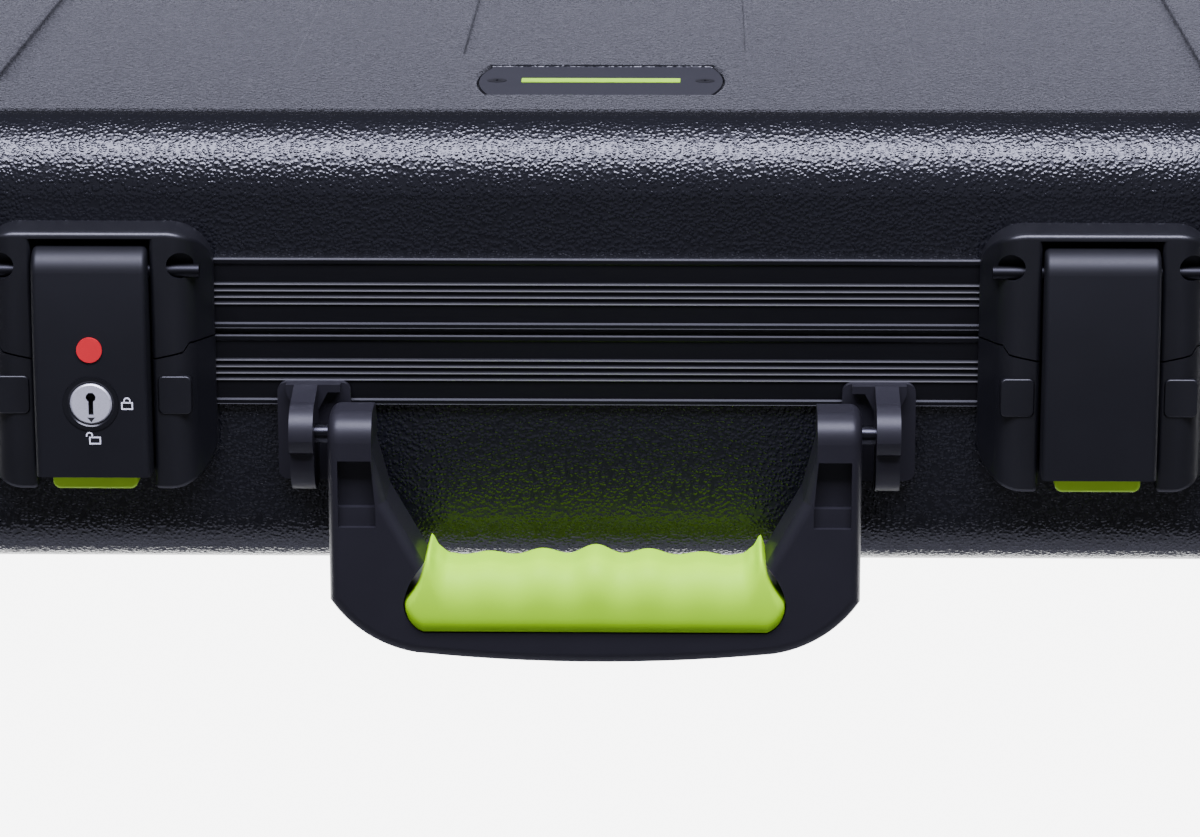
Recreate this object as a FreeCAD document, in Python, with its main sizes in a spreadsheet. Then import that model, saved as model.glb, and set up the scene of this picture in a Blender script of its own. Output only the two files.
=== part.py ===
import FreeCAD, Part
import math
import os
import re
import Sketcher

# A hard-shell microphone case: a shallow base and a lid of moulded plastic,
# each edged with a ribbed aluminium valance, joined by two rear hinges and
# closed by two draw latches, with a drop handle between the latches.
# Millimetres. +X to the right, +Y to the back, +Z up, and the origin at the
# centre of the pads that the case rests on.

SIZES = {
    # case
    "case_width": 450,
    "case_depth": 340,
    "base_height": 65.5,
    "lid_height": 55.3,
    "corner_radius": 35,
    "wall": 3.2,
    "base_edge_radius": 15,
    "lid_edge_radius": 19,
    "running_gap": 0.3,
    "overrun": 5,
    # raised and sunk panels, alike above and below so that cases stack
    "rest_height": 2,
    "panel_sink": 1.6,
    "panel_round": 1.2,
    "mid_panel_width": 79,
    "mid_panel_inset": 94,
    "side_panel_width": 79,
    "side_panel_offset": 99,
    "side_panel_inset": 55.5,
    "panel_corner": 8,
    "stacking_gap": 1,
    # valances round both rims
    "valance_gap": 2,
    "valance_height": 18.5,
    "valance_thick": 1.2,
    "flange_thick": 1.5,
    "flange_reach": 7,
    "bead_height": 0.45,
    "bead_width": 0.9,
    "bead_pitch": 1.75,
    "bead_start": 6.15,
    "lip_width": 1.1,
    "gasket_width": 3,
    "gasket_inset": 3.5,
    # foam
    "foam_gap": 0.5,
    "base_pad_thick": 16,
    "tray_height": 41,
    "tray_sink": 32,
    "lid_foam_thick": 27,
    "peak_pitch": 36,
    "peak_height": 9,
    "peak_flat": 6,
    "mic_pitch": 60,
    "mic_head": 54,
    "mic_grip_head": 40,
    "mic_grip_end": 27,
    "mic_length": 170,
    "mic_front": 7,
    "store_inset": 17.3,
    "store_depth": 116,
    "store_rear": 12,
    # latch housings, from the parting line and the valance's face
    "latch_clearance": 16.1,
    "housing_width": 61.4,
    "housing_rise": 29.4,
    "housing_drop": 39.5,
    "housing_corner": 11.5,
    "housing_front": 12.6,
    "housing_side_step": 2,
    "housing_side_inset": 6.2,
    "housing_round": 1.4,
    "housing_shoulder": 8,
    "channel_round": 1.2,
    "channel_width": 30.8,
    "channel_floor": 2.2,
    "channel_top": 27.6,
    "split_edge_drop": 0.4,
    "split_step_drop": 2.7,
    "split_inner_drop": 4.4,
    "split_outer_reach": 25,
    "split_inner_reach": 23.4,
    "split_gap": 0.5,
    "window_diameter": 6.8,
    "window_reach": 23.1,
    "window_rise": 20.4,
    "window_floor": 5,
    "plug_width": 8.8,
    "plug_height": 10.2,
    "plug_reach": 21.1,
    "plug_drop": 13.9,
    "plug_depth": 3,
    "plug_proud": 0.4,
    "plug_corner": 1.5,
    "fit_gap": 0.05,
    # lever, its pin, hook and keeper
    "pin_rise": 18.7,
    "pin_out": 10,
    "pin_diameter": 3.6,
    "pin_length": 56,
    "lever_width": 29.8,
    "lever_barrel": 6.9,
    "lever_front": 18.8,
    "lever_crown_drop": 14,
    "lever_drop": 34.5,
    "lever_back": 6,
    "lever_skin": 3,
    "lever_side": 2,
    "lever_hollow_top": 9,
    "lever_round": 1.6,
    "hook_width": 22,
    "hook_prong": 3,
    "hook_top_drop": 2,
    "hook_bar": 5,
    "hook_drop": 20,
    "hook_gap": 0.6,
    "keeper_width": 23,
    "keeper_thick": 4,
    "keeper_drop": 12,
    "keeper_out": 8.8,
    "keeper_round": 1,
    # lock
    "lock_drop": 14.7,
    "lock_diameter": 11,
    "lock_ring_diameter": 14.4,
    "lock_ring_thick": 0.8,
    "lock_dish": 0.5,
    "lock_proud": 0.2,
    "lock_length": 7.4,
    "cam_thick": 1.5,
    "cam_width": 5,
    "cam_reach": 7.3,
    "key_slot_height": 6,
    "key_slot_width": 1.3,
    "key_head": 2.6,
    "key_slot_sink": 3,
    "mark_diameter": 6.6,
    "mark_seat_depth": 1,
    "mark_proud": 0.15,
    "mark_drop": 0.4,
    # release tab
    "tab_width": 22.2,
    "tab_drop": 38.6,
    "tab_rise": 31,
    "tab_back": 2.6,
    "tab_front": 15.2,
    "tab_corner": 2,
    "tab_round": 0.8,
    # handle, from its pivot's axis
    "pivot_drop": 23.4,
    "pivot_out": 16.2,
    "handle_width": 137.8,
    "handle_thick": 21,
    "knuckle_rise": 7.2,
    "knuckle_flat": 0.2,
    "arm_top_width": 11.5,
    "arm_top_drop": 2,
    "arm_mid_width": 15,
    "arm_mid_drop": 15.4,
    "corner_drop": 42.5,
    "corner_curve_radius": 33,
    "bottom_curve_inset": 22.4,
    "bottom_curve_drop": 57.1,
    "handle_round": 3,
    "arm_pocket_width": 8.6,
    "arm_pocket_height": 17.8,
    "arm_pocket_drop": 4.6,
    "arm_pocket_inset": 2.6,
    "arm_pocket_lean": 1.1,
    "arm_pocket_sink": 4,
    "arm_pocket_step_sink": 1.6,
    "arm_pocket_step_height": 5,
    # grip let into the handle
    "grip_shoulder_inset": 24.6,
    "grip_shoulder_drop": 32.5,
    "grip_lobe_inset": 19.15,
    "grip_lobe_drop": 43,
    "grip_low_inset": 24.1,
    "grip_low_drop": 50.8,
    "grip_lobe_radius": 8.6,
    "grip_shoulder_radius": 19.5,
    "grip_spur_inset": 25.7,
    "grip_spur_drop": 29.1,
    "grip_valley_drop": 33.8,
    "grip_thick": 24.4,
    "grip_crown_inset": 5,
    "grip_crown_drop": 6,
    "grip_crown_radius": 14,
    "grip_sole_inset": 2.6,
    "grip_sole_rise": 3,
    "grip_end_inset": 5.5,
    "grip_end_cheek": 3.6,
    "grip_bump_inset": 34.15,
    "mid_bump_radius": 10.2,
    "next_bump_radius": 13.7,
    "end_bump_radius": 25.7,
    # handle brackets and pivot pins
    "pivot_pin_diameter": 5,
    "pivot_pin_depth": 8,
    "pivot_pin_seat": 4,
    "bracket_gap": 3.8,
    "ear_thick": 6.2,
    "bracket_outer": 4.6,
    "bracket_inner": 4.6,
    "bracket_rise": 10.4,
    "bracket_drop": 15.8,
    "bracket_plate": 4,
    "bracket_corner": 2.5,
    "wing_thick": 2,
    "wing_reach": 6.4,
    "wing_slope_drop": 7,
    "wing_slope_run": 2.6,
    "ear_radius": 8.4,
    "ear_lobe_radius": 10,
    "ear_round": 1.8,
    # name plate
    "plate_width": 66,
    "plate_depth": 40,
    "plate_bow": 3.3,
    "plate_centre": 60,
    "plate_thick": 1.3,
    "plate_gap": 0.4,
    "plate_screw_spacing": 56.4,
    "screw_head": 5.2,
    "screw_head_height": 0.7,
    "screw_head_sink": 0.6,
    "recess_width": 2.2,
    "recess_bar": 0.6,
    "recess_sink": 0.4,
    "screw_shank": 2.6,
    "screw_length": 2.4,
    "stripe_width": 43,
    "stripe_depth": 5,
    "stripe_thick": 0.2,
    # rear hinges
    "hinge_inset": 90,
    "hinge_width": 60,
    "hinge_leaf": 2,
    "hinge_leaf_height": 16,
    "hinge_leaf_start": 2,
    "knuckle_radius": 4.2,
    "hinge_pin_diameter": 4,
    "hinge_stand_off": 0.5,
    "knuckle_gap": 0.4,
    "rivet_diameter": 5,
    "rivet_height": 1,
    "rivet_spacing": 44,
}

# Places given as shares of the size that they follow
SHARES = {
    "mic_front_share": 0.36,
    "mic_neck_share": 0.86,
    "crease_drop_share": 0.4,
    "crease_depth_share": 0.45,
    "lobe_drop_share": 0.8,
    "hinge_outer_share": 0.28,
    "panel_chamfer_share": 0.33,
    "bead_slope_share": 0.33,
    "bottom_curve_share": 9.91228,
    "rivet_rise_share": 0.6,
}

HAIR = 1e-3
BEAD_COUNT = 4

doc = FreeCAD.newDocument("microphone_case")
sheet = doc.addObject("Spreadsheet::Sheet", "dims")
NAMED = {**SIZES, **SHARES}
for row, (alias, size) in enumerate(NAMED.items(), 1):
    sheet.set(f"A{row}", alias)
    sheet.set(f"B{row}", str(size))
    sheet.setAlias(f"B{row}", alias)
doc.recompute()

# Places that several pieces share
PARTING = "(rest_height + base_height)"
LID_TOP = "(rest_height + base_height + lid_height)"
HALF_GAP = "(valance_gap / 2)"
FRONT = "(case_depth / 2)"
BASE_RIM = "(rest_height + base_height - valance_gap / 2 - flange_thick)"
LID_RIM = "(rest_height + base_height + valance_gap / 2 + flange_thick)"
SIDE_PANEL_X = "(case_width / 2 - side_panel_offset)"
BRACKET_X = "(handle_width / 2 + bracket_gap + ear_thick + bracket_outer)"
LATCH_X = f"({BRACKET_X} + latch_clearance + housing_width / 2)"
HINGE_X = "(case_width / 2 - hinge_inset)"
PLATE_Y = "(plate_centre - case_depth / 2)"
HINGE_Y = (
    "(case_depth / 2 + valance_thick + bead_height + hinge_stand_off + knuckle_radius)"
)
BEAD_FACE = "(valance_thick + bead_height)"

solids = []


def linked(text):
    """The expression with each named size read from the sheet."""
    return re.sub(
        r"[a-z][a-z_]*[a-z]",
        lambda m: f"dims.{m[0]}" if m[0] in NAMED else m[0],
        str(text),
    )


def worth(text):
    return float(sheet.evalExpression(linked(text)))


def new_body(name):
    body = doc.addObject("PartDesign::Body", name)
    body.Label = name
    solids.append(body)
    return body


def place(body, x="0", y="0", z="0"):
    for axis, text in (("x", x), ("y", y), ("z", z)):
        body.setExpression(f"Placement.Base.{axis}", linked(text))
    doc.recompute()


def arc_between(start, end, radius):
    """Arc that runs anticlockwise from start to end, by less than half a turn."""
    half = math.dist(start, end) / 2
    if radius < half:
        raise ValueError(f"an arc of radius {radius} can't span {half * 2}")
    bulge = radius - math.sqrt(radius * radius - half * half)
    across, up = (end[0] - start[0]) / 2, (end[1] - start[1]) / 2
    middle = FreeCAD.Vector(
        start[0] + across + up / half * bulge,
        start[1] + up - across / half * bulge,
        0,
    )
    ends = [FreeCAD.Vector(*point, 0) for point in (start, end)]
    return Part.Arc(ends[0], middle, ends[1])


def draw(body, name, plane, loops, offset="0"):
    """Sketch on one of the body's own planes. A loop is a list of corners, each
    (x, y) or (x, y, side, radius) where the edge that leaves it is an arc, or
    ("circle", x, y, radius)."""
    sketch = body.newObject("Sketcher::SketchObject", f"{body.Name}_{name}")
    origin = [f for f in body.Origin.OriginFeatures if f.Role == plane]
    sketch.AttachmentSupport = [(origin[0], "")]
    sketch.MapMode = "FlatFace"
    sketch.setExpression("AttachmentOffset.Base.z", linked(offset))

    def fix(kind, value, *where):
        index = sketch.addConstraint(Sketcher.Constraint(kind, *where, worth(value)))
        sketch.setExpression(f"Constraints[{index}]", linked(value))

    for loop in loops:
        if loop[0] == "circle":
            x, y, radius = loop[1:]
            centre = FreeCAD.Vector(worth(x), worth(y), 0)
            circle = Part.Circle(centre, FreeCAD.Vector(0, 0, 1), worth(radius))
            index = sketch.addGeometry(circle, False)
            fix("Radius", radius, index)
            fix("DistanceX", x, -1, 1, index, 3)
            fix("DistanceY", y, -1, 1, index, 3)
            continue
        spots = [(worth(corner[0]), worth(corner[1])) for corner in loop]
        first = sketch.GeometryCount
        ends = []
        for i, corner in enumerate(loop):
            start, end = spots[i], spots[(i + 1) % len(loop)]
            if len(corner) == 2:
                a = FreeCAD.Vector(*start, 0)
                b = FreeCAD.Vector(*end, 0)
                sketch.addGeometry(Part.LineSegment(a, b), False)
                ends.append((1, 2))
                continue
            if corner[2] > 0:
                arc = arc_between(start, end, worth(corner[3]))
                ends.append((1, 2))
            else:
                arc = arc_between(end, start, worth(corner[3]))
                ends.append((2, 1))
            sketch.addGeometry(arc, False)
        for i, corner in enumerate(loop):
            here, after = first + i, first + (i + 1) % len(loop)
            joined = ends[i][1], ends[(i + 1) % len(loop)][0]
            sketch.addConstraint(
                Sketcher.Constraint("Coincident", here, joined[0], after, joined[1])
            )
            fix("DistanceX", corner[0], -1, 1, here, ends[i][0])
            fix("DistanceY", corner[1], -1, 1, here, ends[i][0])
            if len(corner) > 2:
                fix("Radius", corner[3], here)
    doc.recompute()
    return sketch


def box_loop(x0, y0, x1, y1):
    return [(x0, y0), (x1, y0), (x1, y1), (x0, y1)]


def feature(body, kind, name, sketch, length, both=False, back=False):
    item = body.newObject(f"PartDesign::{kind}", f"{body.Name}_{name}")
    item.Profile = sketch
    item.setExpression("Length", linked(length))
    item.Midplane = both
    item.Reversed = back
    before = body_volume(body, item)
    doc.recompute()
    if kind == "Pocket" and item.Shape.Volume >= before - HAIR:
        raise ValueError(f"{item.Name} cuts nothing")
    return item


def body_volume(body, item):
    base = item.BaseFeature
    return base.Shape.Volume if base else 0


def pad(body, name, sketch, length, **way):
    return feature(body, "Pad", name, sketch, length, **way)


def pocket(body, name, sketch, length, **way):
    return feature(body, "Pocket", name, sketch, length, **way)


def blend(body, name, radius, chosen, kind="Fillet"):
    """Fillet or chamfer of the edges of the body's last feature that are chosen."""
    base = body.Tip
    edges = enumerate(base.Shape.Edges, 1)
    names = [f"Edge{i}" for i, edge in edges if chosen(edge)]
    if not names:
        raise ValueError(f"no edges for {name} of {body.Name}")
    item = body.newObject(f"PartDesign::{kind}", f"{body.Name}_{name}")
    item.Base = (base, names)
    item.setExpression("Radius" if kind == "Fillet" else "Size", linked(radius))
    doc.recompute()
    if "Invalid" in item.State:
        raise ValueError(f"{item.Name} failed")
    return item


def along(axis):
    """Straight edges that run along the axis."""

    def chosen(edge):
        box = edge.BoundBox
        sides = {"x": box.XLength, "y": box.YLength, "z": box.ZLength}
        own = sides.pop(axis)
        return own > HAIR and max(sides.values()) < HAIR

    return chosen


def level(axis, place_text):
    """Edges that lie wholly in the plane at this place on the axis."""
    value = worth(place_text)

    def chosen(edge):
        box = edge.BoundBox
        low = {"x": box.XMin, "y": box.YMin, "z": box.ZMin}[axis]
        high = {"x": box.XMax, "y": box.YMax, "z": box.ZMax}[axis]
        return abs(low - value) < HAIR and abs(high - value) < HAIR

    return chosen


def within(x0=None, x1=None, y0=None, y1=None, z0=None, z1=None):
    """Edges whose middle lies inside the box."""
    sides = (("x", x0, x1), ("y", y0, y1), ("z", z0, z1))
    limits = [
        (axis, low and worth(low), high and worth(high)) for axis, low, high in sides
    ]

    def chosen(edge):
        centre = edge.BoundBox.Center
        for axis, low, high in limits:
            own = getattr(centre, axis)
            if low is not None and own < low - HAIR:
                return False
            if high is not None and own > high + HAIR:
                return False
        return True

    return chosen


def every(*tests):
    return lambda edge: all(test(edge) for test in tests)


def hollow(body, name, thickness, test):
    """Shell of even wall, open at the face that passes the test."""
    base = body.Tip
    faces = enumerate(base.Shape.Faces, 1)
    names = [f"Face{i}" for i, face in faces if test(face)]
    item = body.newObject("PartDesign::Thickness", f"{body.Name}_{name}")
    item.Base = (base, names)
    item.setExpression("Value", linked(thickness))
    item.Reversed = True
    doc.recompute()
    return item


def flat_at(z_text):
    value = worth(z_text)
    return lambda face: (
        face.BoundBox.ZLength < HAIR and abs(face.BoundBox.ZMin - value) < HAIR
    )


def ring_path(body, name, z):
    """Closed path round the case at the shells' outer face, from its front middle."""
    x, y, r = "case_width / 2", "case_depth / 2", "corner_radius"
    loop = [
        ("0", f"-{y}"),
        (f"{x} - {r}", f"-{y}", 1, r),
        (f"{x}", f"-{y} + {r}"),
        (f"{x}", f"{y} - {r}", 1, r),
        (f"{x} - {r}", f"{y}"),
        (f"-{x} + {r}", f"{y}", 1, r),
        (f"-{x}", f"{y} - {r}"),
        (f"-{x}", f"-{y} + {r}", 1, r),
        (f"-{x} + {r}", f"-{y}"),
    ]
    return draw(body, name, "XY_Plane", [loop], z)


def swept(body, name, profile, spine):
    item = body.newObject("PartDesign::AdditivePipe", f"{body.Name}_{name}")
    item.Profile = profile
    item.Spine = spine
    doc.recompute()
    return item


def shell_block(body, low, high, edge_radius, edge_level):
    width, depth = "case_width / 2", "case_depth / 2"
    outline = box_loop(f"-{width}", f"-{depth}", width, depth)
    sketch = draw(body, "outline", "XY_Plane", [outline], low)
    pad(body, "block", sketch, f"{high} - {low}")
    blend(body, "corners", "corner_radius", along("z"))
    blend(body, "edge", edge_radius, level("z", edge_level))


def panel_loops(grow):
    """The three panels' outlines, each grown by this much a side."""
    mid = "mid_panel_width / 2"
    mid_y = "case_depth / 2 - mid_panel_inset"
    side_y = "case_depth / 2 - side_panel_inset"
    loops = [
        box_loop(
            f"-{mid} - {grow}",
            f"-({mid_y}) - {grow}",
            f"{mid} + {grow}",
            f"{mid_y} + {grow}",
        )
    ]
    for sign in ("-", ""):
        centre = f"{sign}({SIDE_PANEL_X})"
        half = f"(side_panel_width / 2 + {grow})"
        loops.append(
            box_loop(
                f"{centre} - {half}",
                f"-({side_y}) - {grow}",
                f"{centre} + {half}",
                f"{side_y} + {grow}",
            )
        )
    return loops


# Base shell: a tray with three raised pads to rest on
base_shell = new_body("base_shell")
shell_block(base_shell, "rest_height", BASE_RIM, "base_edge_radius", "rest_height")
hollow(base_shell, "hollow", "wall", flat_at(BASE_RIM))
rests = draw(base_shell, "rests", "XY_Plane", panel_loops("-stacking_gap"))
pad(base_shell, "pads", rests, "rest_height")
pad_edges = every(along("z"), within(z1="rest_height"))
blend(base_shell, "pad_corners", "panel_corner", pad_edges)
blend(base_shell, "pad_edges", "rest_height * panel_chamfer_share", level("z", "0"), "Chamfer")


# Lid shell: the same block upside down, with sunk panels that take the pads
lid_shell = new_body("lid_shell")
shell_block(lid_shell, LID_RIM, LID_TOP, "lid_edge_radius", LID_TOP)
hollow(lid_shell, "hollow", "wall", flat_at(LID_RIM))
panels = draw(lid_shell, "panels", "XY_Plane", panel_loops("0"), LID_TOP)
pocket(lid_shell, "sinks", panels, "panel_sink")
sink_walls = every(along("z"), within(z0=f"{LID_TOP} - panel_sink"))
blend(lid_shell, "sink_corners", "panel_corner", sink_walls)


def bowed_loop(grow):
    """The name plate's outline: straight long sides and bowed ends."""
    half_x = f"(plate_width / 2 - plate_bow + {grow})"
    half_y = f"(plate_depth / 2 + {grow})"
    bow = f"(({half_y} * {half_y} + plate_bow * plate_bow) / (2 * plate_bow))"
    low, high = f"{PLATE_Y} - {half_y}", f"{PLATE_Y} + {half_y}"
    return [
        (f"-{half_x}", low),
        (half_x, low, 1, bow),
        (half_x, high),
        (f"-{half_x}", high, 1, bow),
    ]


def screw_places():
    return [f"{sign}plate_screw_spacing / 2" for sign in ("-", "")]


seat = draw(lid_shell, "plate_seat", "XY_Plane", [bowed_loop("plate_gap")], LID_TOP)
pocket(lid_shell, "plate_sink", seat, "panel_sink")
screw_radius = "screw_shank / 2 + fit_gap"
holes = [("circle", x, PLATE_Y, screw_radius) for x in screw_places()]
screw_holes = draw(lid_shell, "screw_holes", "XY_Plane", holes, LID_TOP)
pocket(lid_shell, "screw_cuts", screw_holes, "wall + overrun")
sink_tops = every(
    level("z", LID_TOP),
    within(y0="-case_depth / 2 + plate_centre - plate_depth"),
    lambda edge: edge.BoundBox.DiagonalLength < worth("case_width / 2"),
    lambda edge: (
        abs(edge.BoundBox.Center.x) < worth(f"{SIDE_PANEL_X} + side_panel_width")
    ),
)
blend(lid_shell, "sink_edges", "panel_round", sink_tops)


# Valances: one bent extrusion round each rim, beaded outside, flanged inside
def valance(name, side):
    """side is 1 for the lid's, above the parting line, and -1 for the base's."""
    body = new_body(name)
    spine = ring_path(body, "path", PARTING)

    def spot(out, up):
        way = "-" if side < 0 else ""
        return f"-({FRONT} + {out})", f"{PARTING} {way or '+'} ({HALF_GAP} + {up})"

    face, bead = "valance_thick", BEAD_FACE
    points = [
        spot("-flange_reach", "0"),
        spot(bead, "0"),
        spot(bead, "lip_width"),
        spot(face, "lip_width + bead_height"),
    ]
    for i in range(BEAD_COUNT):
        start = f"(bead_start + {i} * bead_pitch)"
        points.append(spot(face, start))
        points.append(spot(bead, f"{start} + bead_width * bead_slope_share"))
        points.append(spot(bead, f"{start} + bead_width * (1 - bead_slope_share)"))
        points.append(spot(face, f"{start} + bead_width"))
    points += [
        spot(face, "valance_height - lip_width - bead_height"),
        spot(bead, "valance_height - lip_width"),
        spot(bead, "valance_height"),
        spot("0", "valance_height"),
        spot("0", "flange_thick"),
        spot("-flange_reach", "flange_thick"),
    ]
    if side > 0:
        points.reverse()
    profile = draw(body, "section", "YZ_Plane", [points])
    swept(body, "extrusion", profile, spine)
    return body


valance("base_valance", -1)
valance("lid_valance", 1)

# Seal on the base's flange, clear of the lid's by a running gap
seal = new_body("rim_seal")
seal_path = ring_path(seal, "path", PARTING)
seal_out = f"-({FRONT} - gasket_inset + gasket_width / 2)"
seal_in = f"-({FRONT} - gasket_inset - gasket_width / 2)"
seal_low = f"{PARTING} - {HALF_GAP}"
seal_high = f"{PARTING} + {HALF_GAP} - running_gap"
seal_section = [box_loop(seal_out, seal_low, seal_in, seal_high)]
swept(seal, "strip", draw(seal, "section", "YZ_Plane", seal_section), seal_path)

# Foam: a pad under a tray with a drop for each microphone and a cable store
INNER_X = "(case_width / 2 - wall - foam_gap)"
INNER_Y = "(case_depth / 2 - wall - foam_gap)"
FOAM_LOW = "(rest_height + wall + foam_gap)"
TRAY_LOW = f"({FOAM_LOW} + base_pad_thick + running_gap)"


def foam_block(name, low, height):
    body = new_body(name)
    outline = box_loop(f"-{INNER_X}", f"-{INNER_Y}", INNER_X, INNER_Y)
    pad(body, "block", draw(body, "outline", "XY_Plane", [outline], low), height)
    blend(body, "corners", "corner_radius - wall - foam_gap", along("z"))
    return body


base_pad = foam_block("base_foam_pad", FOAM_LOW, "base_pad_thick")
blend(base_pad, "edge", "base_edge_radius - wall", level("z", FOAM_LOW))

tray = foam_block("foam_tray", TRAY_LOW, "tray_height")
TRAY_TOP = f"({TRAY_LOW} + tray_height)"
mic_low = f"(-{INNER_Y} + mic_front)"
MIC_COUNT = f"floor({INNER_X} * 2 / mic_pitch)"
mic_x = f"(-mic_pitch * ({MIC_COUNT} - 1) / 2)"
mic_neck = f"({mic_low} + mic_head * mic_neck_share)"
mic_loop = [
    (f"{mic_x} - mic_head * mic_front_share", mic_low),
    (f"{mic_x} + mic_head * mic_front_share", mic_low, 1, "mic_head / 2"),
    (f"{mic_x} + mic_grip_head / 2", mic_neck),
    (f"{mic_x} + mic_grip_end / 2", f"{mic_low} + mic_length"),
    (f"{mic_x} - mic_grip_end / 2", f"{mic_low} + mic_length"),
    (f"{mic_x} - mic_grip_head / 2", mic_neck, 1, "mic_head / 2"),
]
drop = draw(tray, "mic_outline", "XY_Plane", [mic_loop], TRAY_TOP)
first_drop = pocket(tray, "mic_drop", drop, "tray_sink")
row = tray.newObject("PartDesign::LinearPattern", "foam_tray_mic_row")
row.Originals = [first_drop]
row.Direction = (drop, ["H_Axis"])
row.setExpression("Length", linked(f"mic_pitch * ({MIC_COUNT} - 1)"))
row.setExpression("Occurrences", linked(MIC_COUNT))
tray.Tip = row
doc.recompute()
store_high = f"({INNER_Y} - store_rear)"
store_low = f"({INNER_Y} - store_rear - store_depth)"
store_half = f"({INNER_X} - store_inset)"
store_loop = box_loop(f"-{store_half}", store_low, store_half, store_high)
store = draw(tray, "store_outline", "XY_Plane", [store_loop], TRAY_TOP)
pocket(tray, "cable_store", store, "tray_sink")

# Lid foam: a block with a grid of peaks that press on what lies below
lid_foam_low = f"({LID_TOP} - wall - foam_gap - lid_foam_thick)"
lid_foam = foam_block("lid_foam", lid_foam_low, "lid_foam_thick")
foam_top = f"{LID_TOP} - wall - foam_gap"
blend(lid_foam, "edge", "lid_edge_radius - wall", level("z", foam_top))
groove_half = "((peak_pitch - peak_flat) / 2)"
for name, plane, reach, span in (
    ("across", "YZ_Plane", "case_depth", "case_width"),
    ("deep", "XZ_Plane", "case_width", "case_depth"),
):
    start = f"(-{reach} / 2 + peak_pitch / 2)"
    groove = [
        (f"{start} - {groove_half}", f"{lid_foam_low} - overrun"),
        (f"{start} + {groove_half}", f"{lid_foam_low} - overrun"),
        (f"{start} + {groove_half}", lid_foam_low),
        (start, f"{lid_foam_low} + peak_height"),
        (f"{start} - {groove_half}", lid_foam_low),
    ]
    valley = draw(lid_foam, f"{name}_groove", plane, [groove])
    first = pocket(lid_foam, f"{name}_cut", valley, span, both=True)
    grid = lid_foam.newObject("PartDesign::LinearPattern", f"lid_foam_{name}_grid")
    grid.Originals = [first]
    grid.Direction = (valley, ["H_Axis"])
    grid.Mode = "Spacing"
    grid.setExpression("Offset", linked("peak_pitch"))
    grid.setExpression("Occurrences", linked(f"floor({reach} / peak_pitch)"))
    lid_foam.Tip = grid
    doc.recompute()


# Latches. Each is modelled about its own centre: local x across, local -y out
# from the valance's face, local z up from the parting line.
BACK = "(-valance_thick)"


def at_latch(body, side):
    place(body, side, f"-({FRONT} + valance_thick)", PARTING)


def split_line(sign, gap):
    """The stepped line between the halves of a housing, from right to left."""
    half = "housing_width / 2 + overrun"
    right = [
        (half, "split_edge_drop"),
        ("split_outer_reach", "split_edge_drop"),
        ("split_inner_reach", "split_step_drop"),
        ("channel_width / 2", "split_inner_drop"),
    ]
    left = [(f"-({x})", drop) for x, drop in reversed(right)]
    return [(x, f"-({drop}) {sign} {gap}") for x, drop in right + left]


def housing(name, side, upper):
    """One half of a latch housing, with its share of the lever's channel."""
    body = new_body(name)
    half = "housing_width / 2"
    corner = "housing_corner"
    outline = [
        (f"-{half} + {corner}", "-housing_drop"),
        (f"{half} - {corner}", "-housing_drop", 1, corner),
        (half, f"-housing_drop + {corner}"),
        (half, f"housing_rise - {corner}", 1, corner),
        (f"{half} - {corner}", "housing_rise"),
        (f"-{half} + {corner}", "housing_rise", 1, corner),
        (f"-{half}", f"housing_rise - {corner}"),
        (f"-{half}", f"-housing_drop + {corner}", 1, corner),
    ]
    foot = draw(body, "outline", "XZ_Plane", [outline], BACK)
    pad(body, "block", foot, "valance_thick + housing_front")
    wedges = []
    for sign in ("", "-"):
        edge = f"{sign}(housing_width / 2)"
        inner = f"{sign}(housing_width / 2 - housing_side_inset)"
        outer = f"{sign}(housing_width / 2 + overrun)"
        wedges.append(
            [
                (edge, "-housing_side_step"),
                (inner, "-housing_front"),
                (inner, "-housing_front - overrun"),
                (outer, "-housing_front - overrun"),
                (outer, "-housing_side_step"),
            ]
        )
    sides = draw(body, "sides", "XY_Plane", wedges)
    pocket(body, "side_cuts", sides, "(housing_rise + housing_drop) * 2", both=True)
    front = level("y", "-housing_front")
    blend(body, "shoulders", "housing_shoulder", every(along("z"), front))
    blend(body, "front_round", "housing_round", every(front, lambda edge: not along("z")(edge)))
    away = "-" if upper else "+"
    gap = "split_gap / 2"
    cut = split_line("+" if upper else "-", gap)
    end = f"{away}(housing_rise + housing_drop)"
    far = "(housing_width / 2 + overrun)"
    cut = cut + [(f"-{far}", end), (far, end)]
    other = draw(body, "other_half", "XZ_Plane", [cut], f"{BACK} - overrun")
    pocket(body, "split", other, "housing_front + valance_thick + overrun * 2", back=True)
    # the lever's channel, closed above by a hood and open below
    channel_half = "channel_width / 2"
    low = "-housing_drop - overrun"
    channel = box_loop(f"-{channel_half}", low, channel_half, "channel_top")
    trough = draw(body, "channel", "XZ_Plane", [channel], "channel_floor")
    pocket(body, "channel_cut", trough, "housing_front + overrun", back=True)
    near = within(x0=f"-{channel_half}", x1=channel_half)
    blend(body, "channel_edges", "channel_round", every(along("z"), front, near))
    # room behind for the valance that the housing sits across
    reach = f"{HALF_GAP} + valance_height + running_gap"
    low, high = ("-overrun * 2", reach) if upper else (f"-({reach})", "overrun * 2")
    relief = box_loop(f"-{far}", low, far, high)
    behind = draw(body, "relief", "XZ_Plane", [relief], f"{BACK} - overrun")
    depth = f"{BEAD_FACE} + overrun + fit_gap"
    pocket(body, "valance_room", behind, depth, back=True)
    at_latch(body, side)
    return body


def opened(body, name, loops, top, depth):
    """Cut inwards from a plane this far out of the valance's face."""
    sketch = draw(body, name, "XZ_Plane", loops, top)
    return pocket(body, f"{name}_cut", sketch, depth)


def circles(radius, *spots):
    return [("circle", x, y, radius) for x, y in spots]


def through_x(body, name, spot, radius, span):
    """Hole across the body, along its x axis."""
    sketch = draw(body, name, "YZ_Plane", circles(radius, spot))
    return pocket(body, f"{name}_cut", sketch, span, both=True)


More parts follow.
